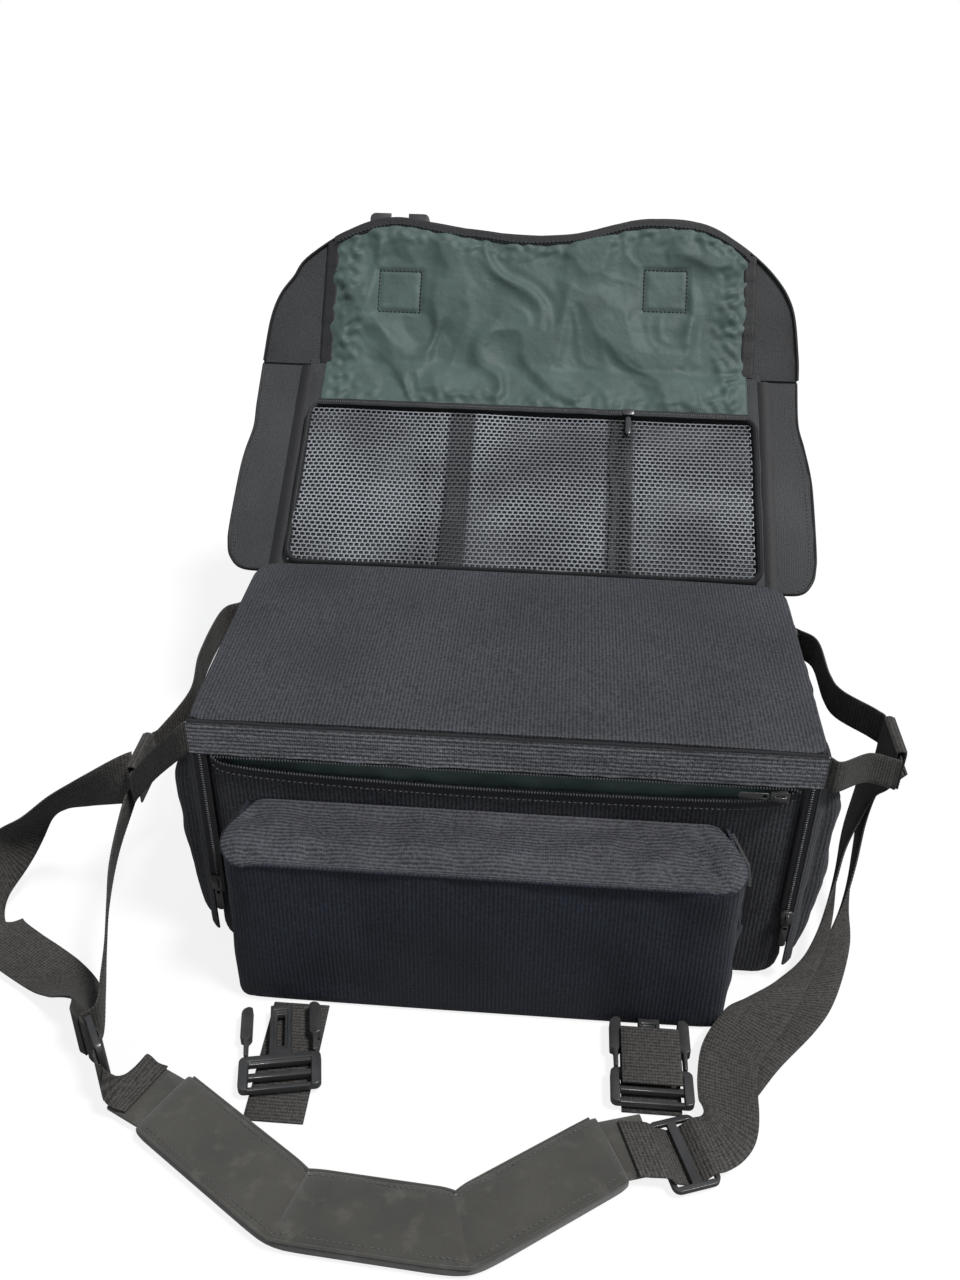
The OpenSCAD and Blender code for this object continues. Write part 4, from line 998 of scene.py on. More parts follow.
STRIP_LEN, PANEL_LEN, PANEL_HALF = 48.0, 214.0, 202.0
NET_DARK_BANDS, NET_DARK_BAND_W = (-58.0, 78.0), 26.0
LOBE, DIP = 143.0, 127.0
WING_LEFT, WING_RIGHT = 45.0, 38.0
APRON_LEFT, APRON_RIGHT = PANEL_HALF + WING_LEFT - 4, PANEL_HALF + WING_RIGHT - 9
RIGHT_HEM = [(APRON_RIGHT + 1, 0.8), (APRON_RIGHT, 27), (APRON_RIGHT - 6, 69), (APRON_RIGHT - 24, 99)]
RIGHT_HEM += [(APRON_RIGHT - 55, 126), (APRON_RIGHT - 89, LOBE), (APRON_RIGHT - 124, LOBE + 3)]
MIDDLE_HEM = [(APRON_RIGHT - 158, LOBE - 2), (APRON_RIGHT - 190, DIP + 5), (11, DIP), (-48, DIP + 2)]
LEFT_HEM = [(-APRON_LEFT + 139, LOBE - 6), (-APRON_LEFT + 101, LOBE - 4), (-APRON_LEFT + 66, LOBE - 18)]
LEFT_HEM += [(-APRON_LEFT + 33, LOBE - 43), (-APRON_LEFT + 22, LOBE - 61), (-APRON_LEFT + 11, 65)]
LEFT_HEM += [(-APRON_LEFT + 4, 41), (-APRON_LEFT, 0.8)]


def wing_line(side):
    """Outer edge of a wing, from the strip's fold to the apron's."""
    w = WING_LEFT if side < 0 else WING_RIGHT
    far = APRON_LEFT if side < 0 else APRON_RIGHT
    p = PANEL_HALF
    pts = [(p + 0.4, 3), (p + 0.62 * w, 4), (p + 0.88 * w, 14), (p + 0.97 * w, 28), (p + w, 45), (p + w, 95)]
    pts += [(p + 0.97 * w, 118), (p + w - 5, 145), (far, 170), (far + 1, PANEL_LEN - 1.2)]
    line = smooth_line([(x, t, 0) for x, t in pts], 3.0)
    return np.column_stack([side * line[:, 0], line[:, 1]])


def hem_line():
    """The apron's hem from right to left, as (x, t)."""
    pts = [(x, t, 0) for x, t in RIGHT_HEM + MIDDLE_HEM + LEFT_HEM]
    return smooth_line(pts, 3.0)[:, :2]


def hem_height(x, inset=0.0):
    """How far the apron reaches at x, from its fold."""
    line = hem_line()
    upper = line[np.argsort(line[:, 0])]
    return np.interp(x, upper[:, 0], upper[:, 1]) - inset


def make_strip():
    """Soft strip that joins the flap to the bag's back, and the binding that hides the fold."""
    x, t = np.meshgrid(np.linspace(-194, 194, 150), np.linspace(0.6, STRIP_LEN - 0.8, 30), indexing="ij")
    sag = 0.4 * ripple(x, t, 71, 110, 26, (2.0, 0.8)) - 0.4
    obj = make("Flap strip cloth", shell(on_strip(x, t, np.clip(sag, -1.3, 0.2) - 0.8), 1.5), FINISH["flap"])
    dress(obj, "flap_strip", ["flap_strip"])
    x, s = np.meshgrid(np.linspace(-193, 193, 110), np.linspace(0, 1, 9), indexing="ij")
    back, flat = np.stack([x, 101.4 + 0 * x, 168 + 0 * x], -1), on_strip(x, 6.0, 0.5)
    roll = back * (1 - s[..., None]) + flat * s[..., None] + UP * (3.0 * np.sin(math.pi * s))[..., None]
    seam = make("Flap back seam", shell(roll, 1.0), FINISH["tape"])
    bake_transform(seam)


def make_fold(name, below, above, half_left, half_right, material):
    """A soft strip of cloth over the fold between two sheets of the flap."""
    x, s = np.meshgrid(np.linspace(-half_left, half_right, 130), np.linspace(-1, 1, 13), indexing="ij")
    p = np.where((s < 0)[..., None], below(x, s), above(x, s))
    obj = make(name, shell(p, 0.9), material)
    start, end = below(0.0, -0.8), above(0.0, 0.8)
    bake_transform(obj)


def make_panel(trim):
    """Padded panel of the flap, its net pocket and raised frame."""
    x, t = np.meshgrid(np.linspace(-201.4, 201.4, 130), np.linspace(1.3, PANEL_LEN - 1.3, 70), indexing="ij")
    pad = 3.0 * np.clip(np.minimum.reduce([201 - np.abs(x), t - 1, PANEL_LEN - 1 - t]) / 10, 0, 1) ** 0.5
    face = on_panel(x, t, pad - 0.6 + 0.3 * ripple(x, t, 81, 90, 24))
    obj = make("Flap panel face", shell(face, 0.9), FINISH["wing"])
    dress(obj, "flap_panel", ["flap_foam"])
    out = make("Flap panel outside", shell(on_panel(x, t, -0.9 + 0.3 * ripple(x, t, 82, 120, 30)), 1.4), FINISH["flap"])
    dress(out, "flap_panel", ["flap_panel"])
    half, t0, t1, r = 195.0 - 2.6, 5 + 2.6, 169 - 2.6, 12.0
    ring = outline(2 * half, t1 - t0, r, 3.0, (0.0, (t0 + t1) / 2))
    wobble = 0.7 * ripple(ring[:, 0], ring[:, 1], 84, 80, 25)
    line = on_panel(ring[:, 0], ring[:, 1], 7.4 + wobble)
    lift = on_panel(0.0, 0.0, 1.0) - on_panel(0.0, 0.0, 0.0)
    wall = sweep(line, lift, round_profile(6.6, 5.0, 10), closed=True)
    frame_obj = make("Net frame", wall, FINISH["tape"])
    dress(frame_obj, "flap_panel", ["mesh_frame"])
    skirt = np.stack([on_panel(ring[:, 0], ring[:, 1], h + 0 * wobble) for h in (2.6, 4.4, 6.4)], 1)
    dress(make("Net frame wall", shell(skirt, 2.4, wrap=True), FINISH["wing"]), "flap_panel")
    make_net(trim, half, t0, t1)
    for point, name in (("net_band_left", "left"), ("net_band_right", "right")):
        centre = seen_at(point, "Flap panel face")
        x, t = np.meshgrid(np.linspace(-13, 13, 9), np.linspace(t0 + 3, t1 - 3, 40), indexing="ij")
        pleat = 4.6 + 1.2 * np.cos(x / 2.6) + 0.4 * ripple(x, t, 87, 60, 20)
        strip = shell(on_panel(centre[0] + x + 1.5 * ripple(x * 0, t, 88, 120, 50), t, pleat), 0.8)
        dress(make(f"Net pleat {name}", strip, FINISH["tape"]), "flap_panel")
    zx = np.linspace(-186, 186, 150)
    zline = on_panel(zx, 166.5 + 0 * zx, 11.0 + 0.25 * ripple(zx, 0 * zx, 86, 60, 20))
    rise = math.radians(PANEL_RISE)
    tape = sweep(zline, (0, math.cos(rise), math.sin(rise)), flat_profile(6.0, 1.0))
    dress(make("Net zip tape", tape, FINISH["tape"]), "flap_panel", ["mesh_zip"])
    pts, way = along_line(zline + lift * 0.5, trim.coil_pitch / MM)
    slope = on_panel(0.0, 1.0, 0.0) - on_panel(0.0, 0.0, 0.0)
    beads("Net zip coil", [(pts, slope, lift)], (2.2, 0.9, 0.9), FINISH["coil"], "flap_panel")


def net_height(x, t):
    """How far the net stands off the panel: it sags between its frame and what lies behind."""
    return 8.2 + 1.1 * ripple(x, t, 91, 160, 50, (1.6, 1.0)) - 1.0


def make_net(trim, half, t0, t1):
    """Knitted net: wavy rows of strands, joined by short uprights in a brick pattern."""
    wide, tall = trim.net_pitch / MM, trim.net_pitch / MM * 0.8
    rows, columns = int((t1 - t0 - 2) / tall), int((2 * half - 2) / wide)
    points, edges = [], []
    for j in range(rows):
        for i in range(2 * columns):
            x = -half + 1 + i * wide / 2
            up = (i + j) % 2
            points.append((x, t0 + 2 + j * tall + (0.07 if up else -0.07) * tall))
            k = len(points) - 1
            if i:
                edges.append((k - 1, k))
            if j and not up:
                edges.append((k - 2 * columns, k))
    flat = np.array(points)
    place = on_panel(flat[:, 0], flat[:, 1], net_height(flat[:, 0], flat[:, 1]) + 0.5)
    mesh = bpy.data.meshes.new("Net")
    mesh.from_pydata((place * MM).tolist(), edges, [])
    obj = bpy.data.objects.new("net", mesh)
    bpy.context.scene.collection.objects.link(obj)
    strand = {"Strand": trim.net_strand / MM / 2}
    grown(obj, TREES["net"], FINISH["net"], strand, "flap_panel", ["mesh_net"])


def make_wings():
    """Loose side wings of the flap."""
    for side, name in ((-1, "left"), (1, "right")):
        line = wing_line(side)
        s = np.linspace(0, 1, 14)
        inner = np.column_stack([np.full(len(line), side * (PANEL_HALF + 0.4)), line[:, 1]])
        p = inner[:, None] * (1 - s[None, :, None]) + line[:, None] * s[None, :, None]
        h = -0.5 + 0.5 * ripple(p[..., 0], p[..., 1], 95 + side, 80, 22) * s[None]
        h = np.clip(h, -0.9, 0.1)
        obj = make(f"Wing cloth {name}", shell(on_panel(p[..., 0], p[..., 1], h), 1.3), FINISH["wing"])
        dress(obj, f"wing_{name}", [f"wing_{name}"])
        edge = on_panel(line[:, 0] - side * 1.0, line[:, 1], -0.4)
        binding = make(f"Wing {name} binding", sweep(edge, UP, round_profile(3.2, 2.6, 8)), FINISH["tape"])
        dress(binding, f"wing_{name}")


def apron_grid(left, right, foot, inset, nx, nt):
    """A grid that fills the apron's shape up to its hem."""
    x = np.linspace(-left, right, nx)
    tops = hem_height(x, inset)
    s = np.linspace(0, 1, nt)
    return np.repeat(x[:, None], nt, 1), foot + s[None] * (np.maximum(tops, foot + 2)[:, None] - foot)


def make_apron():
    """Apron of the flap: dark cloth outside, crinkled green lining inside."""
    x, t = apron_grid(APRON_LEFT - 0.3, APRON_RIGHT + 0.6, 1.3, 0.5, 190, 44)
    wave = 0.4 * ripple(x, t, 101, 120, 35)
    out = make("Apron outside", shell(on_apron(x, t, np.clip(-0.9 + wave, -1.1, -0.6)), 1.0), FINISH["wing"])
    dress(out, "apron", ["flap_apron"])
    a = math.radians(APRON_RISE)
    for point in ("lining_box_left", "lining_box_right"):
        spot = seen_at(point, "Apron outside")
        LINING_BOXES.append((spot[0], (spot[1] - APRON_AT[0]) * math.cos(a) + (spot[2] - APRON_AT[1]) * math.sin(a)))
    x, t = lining_grid(190, 120)
    satin = make("Apron satin", shell(lining_at(x, t), 0.5), FINISH["lining"], 180)
    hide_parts("apron_lining")
    start, end = tuple(on_panel(0, PANEL_LEN - 9, 0) * MM), tuple(on_apron(0, 9, 0) * MM)
    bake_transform(satin)


def lining_grid(nx, nt):
    """Grid of the lining: t runs from below the apron's fold, over it, to the hem."""
    x = np.linspace(-186, 187, nx)
    foot = -42.0 - 5.0 * np.sin((x + 186) / 373 * math.pi) + 1.5 * ripple(x, 0 * x, 106, 70, 20)
    top = hem_height(x, 6.0)
    s = np.linspace(0, 1, nt)
    return np.repeat(x[:, None], nt, 1), foot[:, None] + s[None] * (top - foot)[:, None]


def lining_at(x, t, lift=0.0):
    """Place of the lining at x and t, puffed and creased between its seams."""
    hem, foot = hem_height(x, 6.0), -44.0
    fade = np.clip((187 - np.abs(x)) / 16, 0, 1) * np.clip((t - foot) / 12, 0, 1) * np.clip((hem - t) / 10, 0, 1)
    lean = x + 0.45 * t + 14 * ripple(x, t, 107, 160, 70)
    rise = t - 0.2 * x + 12 * ripple(x, t, 108, 160, 70)
    folds = 5.2 * crease(lean, rise, 104, 210, 95, (0.6, 1.9)) + 1.1 * crease(lean, rise, 105, 110, 46, (0.5, 2.0))
    gather = np.clip((24 - (t - foot)) / 24, 0, 1) + np.clip((24 - (hem - t)) / 24, 0, 1)
    gather = gather + np.clip((np.abs(x) - 150) / 30, 0, 1)
    soft = 2.0 * ripple(x, t, 103, 120, 45) + 2.2 * ripple(x + t, x - t, 109, 24, 11) * gather
    boxes = np.clip(1 - np.abs(from_box(x, t)) / 3.0, 0, 1)
    flat = np.clip(from_box(x, t) / 14, 0, 1)
    h = 1.2 + np.clip((folds + soft + 1.5) * fade * (0.15 + 0.85 * flat), 0.2, 5.6) - 1.6 * boxes * fade + lift
    turn = np.clip((t + 9) / 18, 0, 1)
    turn = (turn * turn * (3 - 2 * turn))[..., None]
    below, above = on_panel(x, PANEL_LEN + np.minimum(t, 6), h + 2.6), on_apron(x, np.maximum(t, -6), h)
    return below * (1 - turn) + above * turn


LINING_BOXES = []
BOX_HALF = 19.0


def from_box(x, t):
    """How far points lie outside the nearer sewn box, below zero inside it."""
    return np.minimum.reduce([np.maximum(np.abs(x - cx), np.abs(t - ct)) - BOX_HALF for cx, ct in LINING_BOXES])


def make_trim():
    """Bindings of the apron: its scalloped hem, its inner tapes, and the folds between sheets."""
    line = hem_line()
    keep = line[(line[:, 1] > 2)]
    edge = on_apron(keep[:, 0], keep[:, 1] - 1.0, -0.2)
    lift = on_apron(0.0, 0.0, 1.0) - on_apron(0.0, 0.0, 0.0)
    hem = sweep(edge, lift, round_profile(3.0, 4.4, 10)[:, ::-1])
    dress(make("Apron hem binding", hem, FINISH["tape"]), "apron")
    x = np.linspace(-186, 187, 150)
    inner = on_apron(x, hem_height(x, 5.0) + 0.8 * np.sin(x / 11.0), 2.4)
    band = sweep(inner, on_apron(0.0, 1.0, 0.0) - on_apron(0.0, 0.0, 0.0), flat_profile(9.0, 1.4))
    dress(make("Lining top binding", band, FINISH["tape"]), "apron")
    for side, name in ((-186.5, "left"), (187.5, "right")):
        t = np.linspace(2.5, hem_height(side, 4.0), 40)
        tape = on_apron(side + 0 * t, t, 1.5 + 0.3 * ripple(t, t, 111, 40, 15))
        tape = sweep(tape, (1, 0, 0), flat_profile(11.0, 1.4))
        dress(make(f"Lining side tape {name}", tape, FINISH["tape"]), "apron")
    make_fold(
        "Strip to panel fold",
        lambda x, s: on_strip(x, STRIP_LEN + s * 7.0, 0.5),
        lambda x, s: on_panel(x, s * 7.0, 1.0 + 0.9 * s * (1 - s)),
        193, 193, FINISH["tape"],
    )
    make_fold(
        "Panel to apron fold",
        lambda x, s: on_panel(x, PANEL_LEN + s * 6.0, 1.0 + 0 * x),
        lambda x, s: on_apron(x, s * 6.0, 1.0 - 0.4 * s),
        200, 200, FINISH["wing"],
    )
    for side, name in ((-1, "left"), (1, "right")):
        seam = smooth_line([(side * PANEL_HALF, t, 0) for t in np.linspace(2, PANEL_LEN - 2, 30)], 6.0)
        lean = np.linspace(-1, 1, 9)
        grid = on_panel(side * PANEL_HALF + lean[None] * 5.0, seam[:, 1:2], 1.3 + 0.9 * np.cos(lean[None] * 1.4))
        strip = make(f"Wing seam {name}", shell(grid, 0.9), FINISH["tape"])
        a, b = on_panel(side * (PANEL_HALF - 4), 0, 0) * MM, on_panel(side * (PANEL_HALF + 4), 0, 0) * MM
        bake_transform(strip)
        far = (APRON_LEFT if side < 0 else APRON_RIGHT) + 0.8
        across, t = np.meshgrid(np.linspace(PANEL_HALF - 4, far, 16), np.linspace(-5, 4, 7), indexing="ij")
        tab = shell(on_apron(side * across, t, -2.4 + 0 * t), 0.8)
        dress(make(f"Wing underlap {name}", tab, FINISH["wing"]), "apron")


# ---- straps and fittings ----

WEB_W, WEB_T = 38.0, 1.6
LOOP_LEFT, LOOP_RIGHT = np.array([-250.0, -62.0, 124.0]), np.array([254.0, -48.0, 162.0])
HANG = 4.99


def make_loops():
    """Side loops that carry the shoulder strap, and the webbing folded over them."""
    for side, name, end in ((-1, "left", LOOP_LEFT), (1, "right", LOOP_RIGHT)):
        e = np.array([abs(end[0]), end[1], end[2]])
        reach, fz, rz = e[0] - 200, 187.0, 162.0
        stations = [
            (199.4, -101.3, fz), (207, -101.4, fz - 0.12 * (fz - e[2])),
            (200 + 0.55 * reach, e[1] - 31, fz - 0.5 * (fz - e[2])),
            (200 + 0.9 * reach, e[1] - 23, fz - 0.88 * (fz - e[2])),
            (200 + reach, e[1] - 17.5, e[2]), (200 + reach, e[1] + 22, e[2]),
            (200 + 0.9 * reach, e[1] + 32, e[2] + 1), (200 + 0.55 * reach, e[1] + 54, (e[2] + rz) / 2),
            (226, e[1] + 80, 158), (223, 68, rz), (212, 82, rz), (201.3, 90, rz),
        ]
        route = [((side * x, y, z), (0, 0, 1)) for x, y, z in stations]
        loop = make(f"Side loop webbing {name}", webbing(route, 24.0, 1.8), FINISH["web"])
        dress(loop, "bag", [f"side_loop_{name}"])
        top, foot, y = e[2] + 13.4, e[2] - 15.0, e[1] + 2
        stations = [(e[0] - 3.0, y, foot), (e[0] - 3.0, y, (foot + top) / 2)]
        stations += [(e[0] + 3.0 * math.cos(a), y, top + 2.6 * math.sin(a)) for a in np.radians([180, 135, 90, 45, 0])]
        stations += [(e[0] + 3.0, y, (foot + top) / 2), (e[0] + 3.0, y, foot)]
        route = [((side * a, b, c), (0, 1, 0)) for a, b, c in stations]
        wrap = make(f"Strap wrap webbing {name}", webbing(route, WEB_W, WEB_T), FINISH["web"])
        dress(wrap, "bag", [f"strap_wrap_{name}"])


ADJUSTER_AT = [np.array([-242.0, -219.0, 24.2]), np.array([121.0, -245.0, 6.0])]
ADJUSTER_TURN, ADJUSTER_LEAN = (-56.0, 199.0), (90.0, 0.0)
PAD_Z = 7.5
PAD_LINE = [(-222, -227), (-197, -239), (-106, -299), (-6, -306), (78, -248), (101, -241)]


def beside(k, u, n):
    """A point beside an adjuster: u along the webbing, n above its frame."""
    t, lean = math.radians(ADJUSTER_TURN[k]), math.radians(ADJUSTER_LEAN[k])
    face = np.array([math.sin(t) * math.sin(lean), -math.cos(t) * math.sin(lean), math.cos(lean)])
    return ADJUSTER_AT[k] + u * np.array([math.cos(t), math.sin(t), 0]) + n * face


def across_adjuster(k):
    t, lean = math.radians(ADJUSTER_TURN[k]), math.radians(ADJUSTER_LEAN[k])
    return np.array([-math.sin(t) * math.cos(lean), math.cos(t) * math.cos(lean), math.sin(lean)])


def threading(k, c):
    """The webbing's way through an adjuster: over one bar, under the middle one, over the third."""
    n = 1.8 + WEB_T / 2
    steps = [(-19, n + 0.8), (-12.6, n + 0.8), (-7.4, 0), (-3, -n - 0.4), (3, -n - 0.4), (7.4, 0), (12.6, n + 0.8)]
    return [(beside(k, u, h), c) for u, h in steps]


def pad_end(k, dx, dy, dz):
    x, y = PAD_LINE[0 if k == 0 else -1]
    return (x + dx, y + dy, PAD_Z + dz)


def make_shoulder_webbing():
    """The shoulder strap's webbing: on each side, one layer to the pad and one back from the adjuster."""
    e, c = LOOP_RIGHT, across_adjuster(1)
    x = e[0] + HANG
    right_1 = [
        ((x, e[1] + 2, e[2] - 4), (0, 1, 0)), ((x, e[1] + 24, e[2] - 34), (0, 1, 0)),
        ((x + 1, e[1] + 48, 100), (0, 1, 0)),
        ((x - 1, e[1] + 52, 74), (0.1, 1, -0.1)), ((x - 8, e[1] + 42, 50), (0.2, 1, -0.2)),
        ((x - 17, e[1] + 16, 35), (0.3, 1, 0.1)), ((x - 34, e[1] - 32, 25), (0.6, 0.8, 0.15)),
        ((x - 51, e[1] - 60, 20), (0.85, 0.5, 0.1)), ((x - 70, e[1] - 82, 16), (0.85, 0.1, 0)),
        ((x - 92, e[1] - 109, 14), (0.8, -0.6, 0)), ((155, -177, 13), (0.93, -0.37, 0)),
        ((151, -197, 12), (0.97, -0.22, 0)),
        ((150, -214, 11.5), (0.96, -0.28, 0)), ((149, -226, 11), (0.8, -0.6, 0)), ((145, -234, 10.2), (0.55, -0.83, 0)),
    ]
    right_1 += threading(1, c)
    right_1 += [(pad_end(1, 4, -7, 4.5), c), (pad_end(1, -6, -7, 4.4), c), (pad_end(1, -13, -7, 4.3), c)]
    right_2 = [
        ((x + 2.4, e[1] + 4, e[2] - 4), (0, 1, 0)), ((x + 2.6, e[1] + 28, e[2] - 34), (0, 1, 0)),
        ((x + 5, e[1] + 54, 100), (0, 1, 0)), ((x + 4, e[1] + 54, 70), (0.1, 1, -0.1)),
        ((x, e[1] + 36, 42), (0.2, 1, -0.1)), ((x - 8, e[1] + 12, 26), (0.3, 0.9, 0.15)),
        ((x - 18, e[1] - 14, 16), (0.6, 0.8, 0.15)), ((x - 28, e[1] - 40, 12), (0.8, 0.4, 0.1)),
        ((x - 45, e[1] - 74, 10), (0.85, 0.1, 0)), ((x - 64, e[1] - 96, 9), (0.8, -0.4, 0)),
        ((x - 88, e[1] - 122, 8.5), (0.75, -0.6, 0)), ((x - 103, e[1] - 143, 8), (0.6, -0.8, 0)),
    ]
    e, c = LOOP_LEFT, across_adjuster(0)
    x = e[0] - HANG
    left_1 = [
        ((x, e[1] + 2, e[2] - 4), (0, 1, 0)), ((x, e[1] - 18, e[2] - 14), (0, 1, -0.2)),
        ((x, e[1] - 56, 95), (-0.2, 0.8, -0.5)), ((x + 1, e[1] - 80, 77), (-0.3, 0.6, -0.7)),
        ((x + 2, e[1] - 97, 57), (-0.3, 0.5, -0.8)), ((x + 4, e[1] - 115, 41), (-0.2, 0.3, -0.9)),
        ((x + 6, e[1] - 134, 28), (-0.1, 0.1, -1)),
    ]
    left_1 += threading(0, -c) + [
        (beside(0, 21, 3.6), -c), (pad_end(0, -7, -4, 12), (0.1, 0.36, -0.93)),
        (pad_end(0, 1, -3, 9.8), (0.35, 0.9, 0.1)),
        (pad_end(0, 7, -4, 5.6), (0.4, 0.9, 0)), (pad_end(0, 13, -5, 4.4), (0.43, 0.9, 0)),
    ]
    left_2 = [
        ((x - 2.4, e[1] - 2, e[2] - 6), (0, 0.4, 1)), ((x - 12, e[1] - 3, e[2] - 9), (0, 0.1, 1)),
        ((x - 29, e[1], 105), (0, -0.2, 1)), ((x - 45, e[1] + 2, 96), (0, -0.4, 0.9)),
        ((x - 63, e[1] + 3, 86), (0, -0.6, 0.8)),
        ((x - 80, e[1] + 1, 72), (-0.2, -0.7, 0.6)), ((x - 96, e[1] - 3, 54), (-0.5, -0.4, 0.7)),
        ((x - 109, e[1] - 16, 32), (-0.3, 0.3, 0.9)), ((x - 112, e[1] - 33, 16), (-0.6, 0.3, 0.6)),
        ((x - 99, e[1] - 52, 8), (-0.6, -0.8, 0)), ((x - 80, e[1] - 65, 8), (-0.5, -0.8, 0)),
        ((x - 61, e[1] - 76, 8), (-0.5, -0.8, 0)), ((x - 43, e[1] - 87, 9), (-0.6, -0.8, 0.1)),
        ((x - 25, e[1] - 101, 13), (-0.6, -0.6, 0.4)), ((x - 9, e[1] - 122, 24), (-0.2, -0.3, 0.9)),
        (beside(0, -27, 7.5), c), (beside(0, -19, 5.6), c),
    ]
    for name, routes in (("left", (left_1, left_2)), ("right", (right_1, right_2))):
        for k, route in enumerate(routes):
            obj = make(f"Shoulder strap {name} layer {k + 1}", webbing(route, WEB_W, WEB_T), FINISH["web"])
            dress(obj, "shoulder_strap", [f"shoulder_webbing_{name}"])


def make_pad(trim):
    """Padded shoulder piece of worn suede: a bent bar with two creases, flat flaps at its ends."""
    bends = [np.array([x, y, PAD_Z]) for x, y in PAD_LINE]
    turn = lambda i: unit(unit(bends[i + 1] - bends[i]) + unit(bends[i] - bends[i - 1]))
    mid, across, near = [], [], []
    ends = np.array([0.3, 1.2, 2.4, 4.0, 6.5])
    for i in range(1, 4):
        span = np.linalg.norm(bends[i + 1] - bends[i])
        ways = (turn(i), unit(bends[i + 1] - bends[i]), turn(i + 1))
        for u in np.concatenate([ends, np.linspace(10, span - 10, 26), span - ends[::-1]]):
            end = min(u, span - u)
            share = min(end / 18.0, 1.0)
            way = unit((ways[0] if u < span / 2 else ways[2]) * (1 - share) + ways[1] * share)
            mid.append(bends[i] + (bends[i + 1] - bends[i]) * u / span)
            across.append(np.array([-way[1], way[0], 0]))
            near.append(math.sqrt(min(end / 7.0, 1.0)))
    mid, across = np.array(mid), np.array(across)
    angle = np.linspace(0, 2 * math.pi, 44, endpoint=False)
    ca, sa = np.cos(angle), np.sin(angle)
    px = np.sign(ca) * np.abs(ca) ** 0.3 * 23.0
    pz = np.sign(sa) * np.abs(sa) ** 0.38 * 6.4
    rings = []
    for i, (p, a) in enumerate(zip(mid, across)):
        w = px * (0.97 + 0.03 * near[i])
        h = pz * (0.62 + 0.38 * near[i]) * (1 - 0.07 * (px / 23.0) ** 4)
        h = h + 0.5 * ripple(px + p[0], px * 0 + p[1], 121, 90, 24) * (pz > 0) * near[i]
        rings.append(p + a[None] * w[:, None] + UP[None] * np.clip(h, -6.4, 6.4)[:, None])
    rings = np.array(rings)
    n, k = rings.shape[:2]
    index = np.arange(n * k).reshape(n, k)
    nxt = np.roll(index, -1, 1)
    faces = np.stack([index[:-1], nxt[:-1], nxt[1:], index[1:]], -1).reshape(-1, 4).tolist()
    faces += [index[0, ::-1].tolist(), index[-1].tolist()]
    verts = rings.reshape(-1, 3)
    pad = make("Shoulder pad suede", (verts, faces, verts[:, :2] * MM), FINISH["suede"], 60)
    dress(pad, "shoulder_strap", ["shoulder_pad"])
    seams = []
    for side in (-1, 1):
        line = mid + across * (side * 22.4) + UP * 4.6
        seam = make(f"Pad edge seam {side + 2}", sweep(line[3:-3], UP, round_profile(2.2, 2.0, 8)), FINISH["suede"])
        dress(seam, "shoulder_strap")
        top = mid + across * (side * 18.6) + UP * (6.2 * (0.62 + 0.38 * np.array(near)[:, None]))
        pts, way = along_line(top[4:-4], trim.stitch_pitch / MM)
        seams.append((pts, way, UP))
    beads("Pad stitches", seams, stitch_size(trim), FINISH["thread"], "shoulder_strap")
    for k, (a, b) in enumerate(((0, 1), (5, 4))):
        p0, p1 = np.array([*PAD_LINE[a], PAD_Z]), np.array([*PAD_LINE[b], PAD_Z])
        d = unit(p1 - p0)
        line = np.array([p0 + d * u for u in np.linspace(0, np.linalg.norm(p1 - p0) + 4, 16)])
        side = np.array([-d[1], d[0], 0])
        flap = make(f"Pad end flap {k + 1}", sweep(line, side, flat_profile(40.0, 4.6)), FINISH["suede"])
        dress(flap, "shoulder_strap")


def stitch_size(trim):
    return (trim.stitch_length / MM, 0.7, 0.6)


def make_buckles():
    """Side-release buckles, prongs and adjusters, as moulded plastic."""
    parts = [("adjuster_left", "shoulder_strap"), ("adjuster_right", "shoulder_strap")]
    for name in ("left", "right"):
        parts += [(f"female_buckle_{name}", "apron"), (f"male_buckle_{name}", f"buckle_{name}")]
        parts += [(f"prong_{name}_{hand}", f"prong_{name}_{hand}") for hand in ("outer", "inner")]
    for node, body in parts:
        obj = hard_copy(f"{node} moulding", node, FINISH["plastic"], 0.9, 3)
        dress(obj, body, [node])


def make_buckle_straps():
    """Straps of the buckles: on the flap's outside, and under the front pocket."""
    for name in ("left", "right"):
        node = f"lower_strap_{name}"
        lo, hi = low(node), high(node)
        x, z = (lo[0] + hi[0]) / 2, (lo[2] + hi[2]) / 2
        route = [((x, y, z), (1, 0, 0)) for y in np.linspace(hi[1], lo[1], 6)]
        obj = make(f"Lower strap webbing {name}", webbing(route, WEB_W, WEB_T), FINISH["web"])
        dress(obj, f"buckle_strap_{name}", [node])
        x = -129.0 if name == "left" else 104.0
        route = [(on_apron(x, t, -2.8), (1, 0, 0)) for t in np.linspace(26.5, 92, 8)]
        obj = make(f"Flap strap webbing {name}", webbing(route, WEB_W, 1.5), FINISH["web"])
        dress(obj, "apron", [f"flap_strap_{name}"])
    lo, hi = low("strap_tail_right"), high("strap_tail_right")
    x, z = (lo[0] + hi[0]) / 2, (lo[2] + hi[2]) / 2
    route = [((x, y, z), (1, 0, 0)) for y in np.linspace(lo[1], hi[1], 5)]
    tail = make("Strap tail webbing", webbing(route, WEB_W, 1.5), FINISH["web"])
    dress(tail, "buckle_right", ["strap_tail_right"])


# ---- stitches, placed through the photograph's frame ----

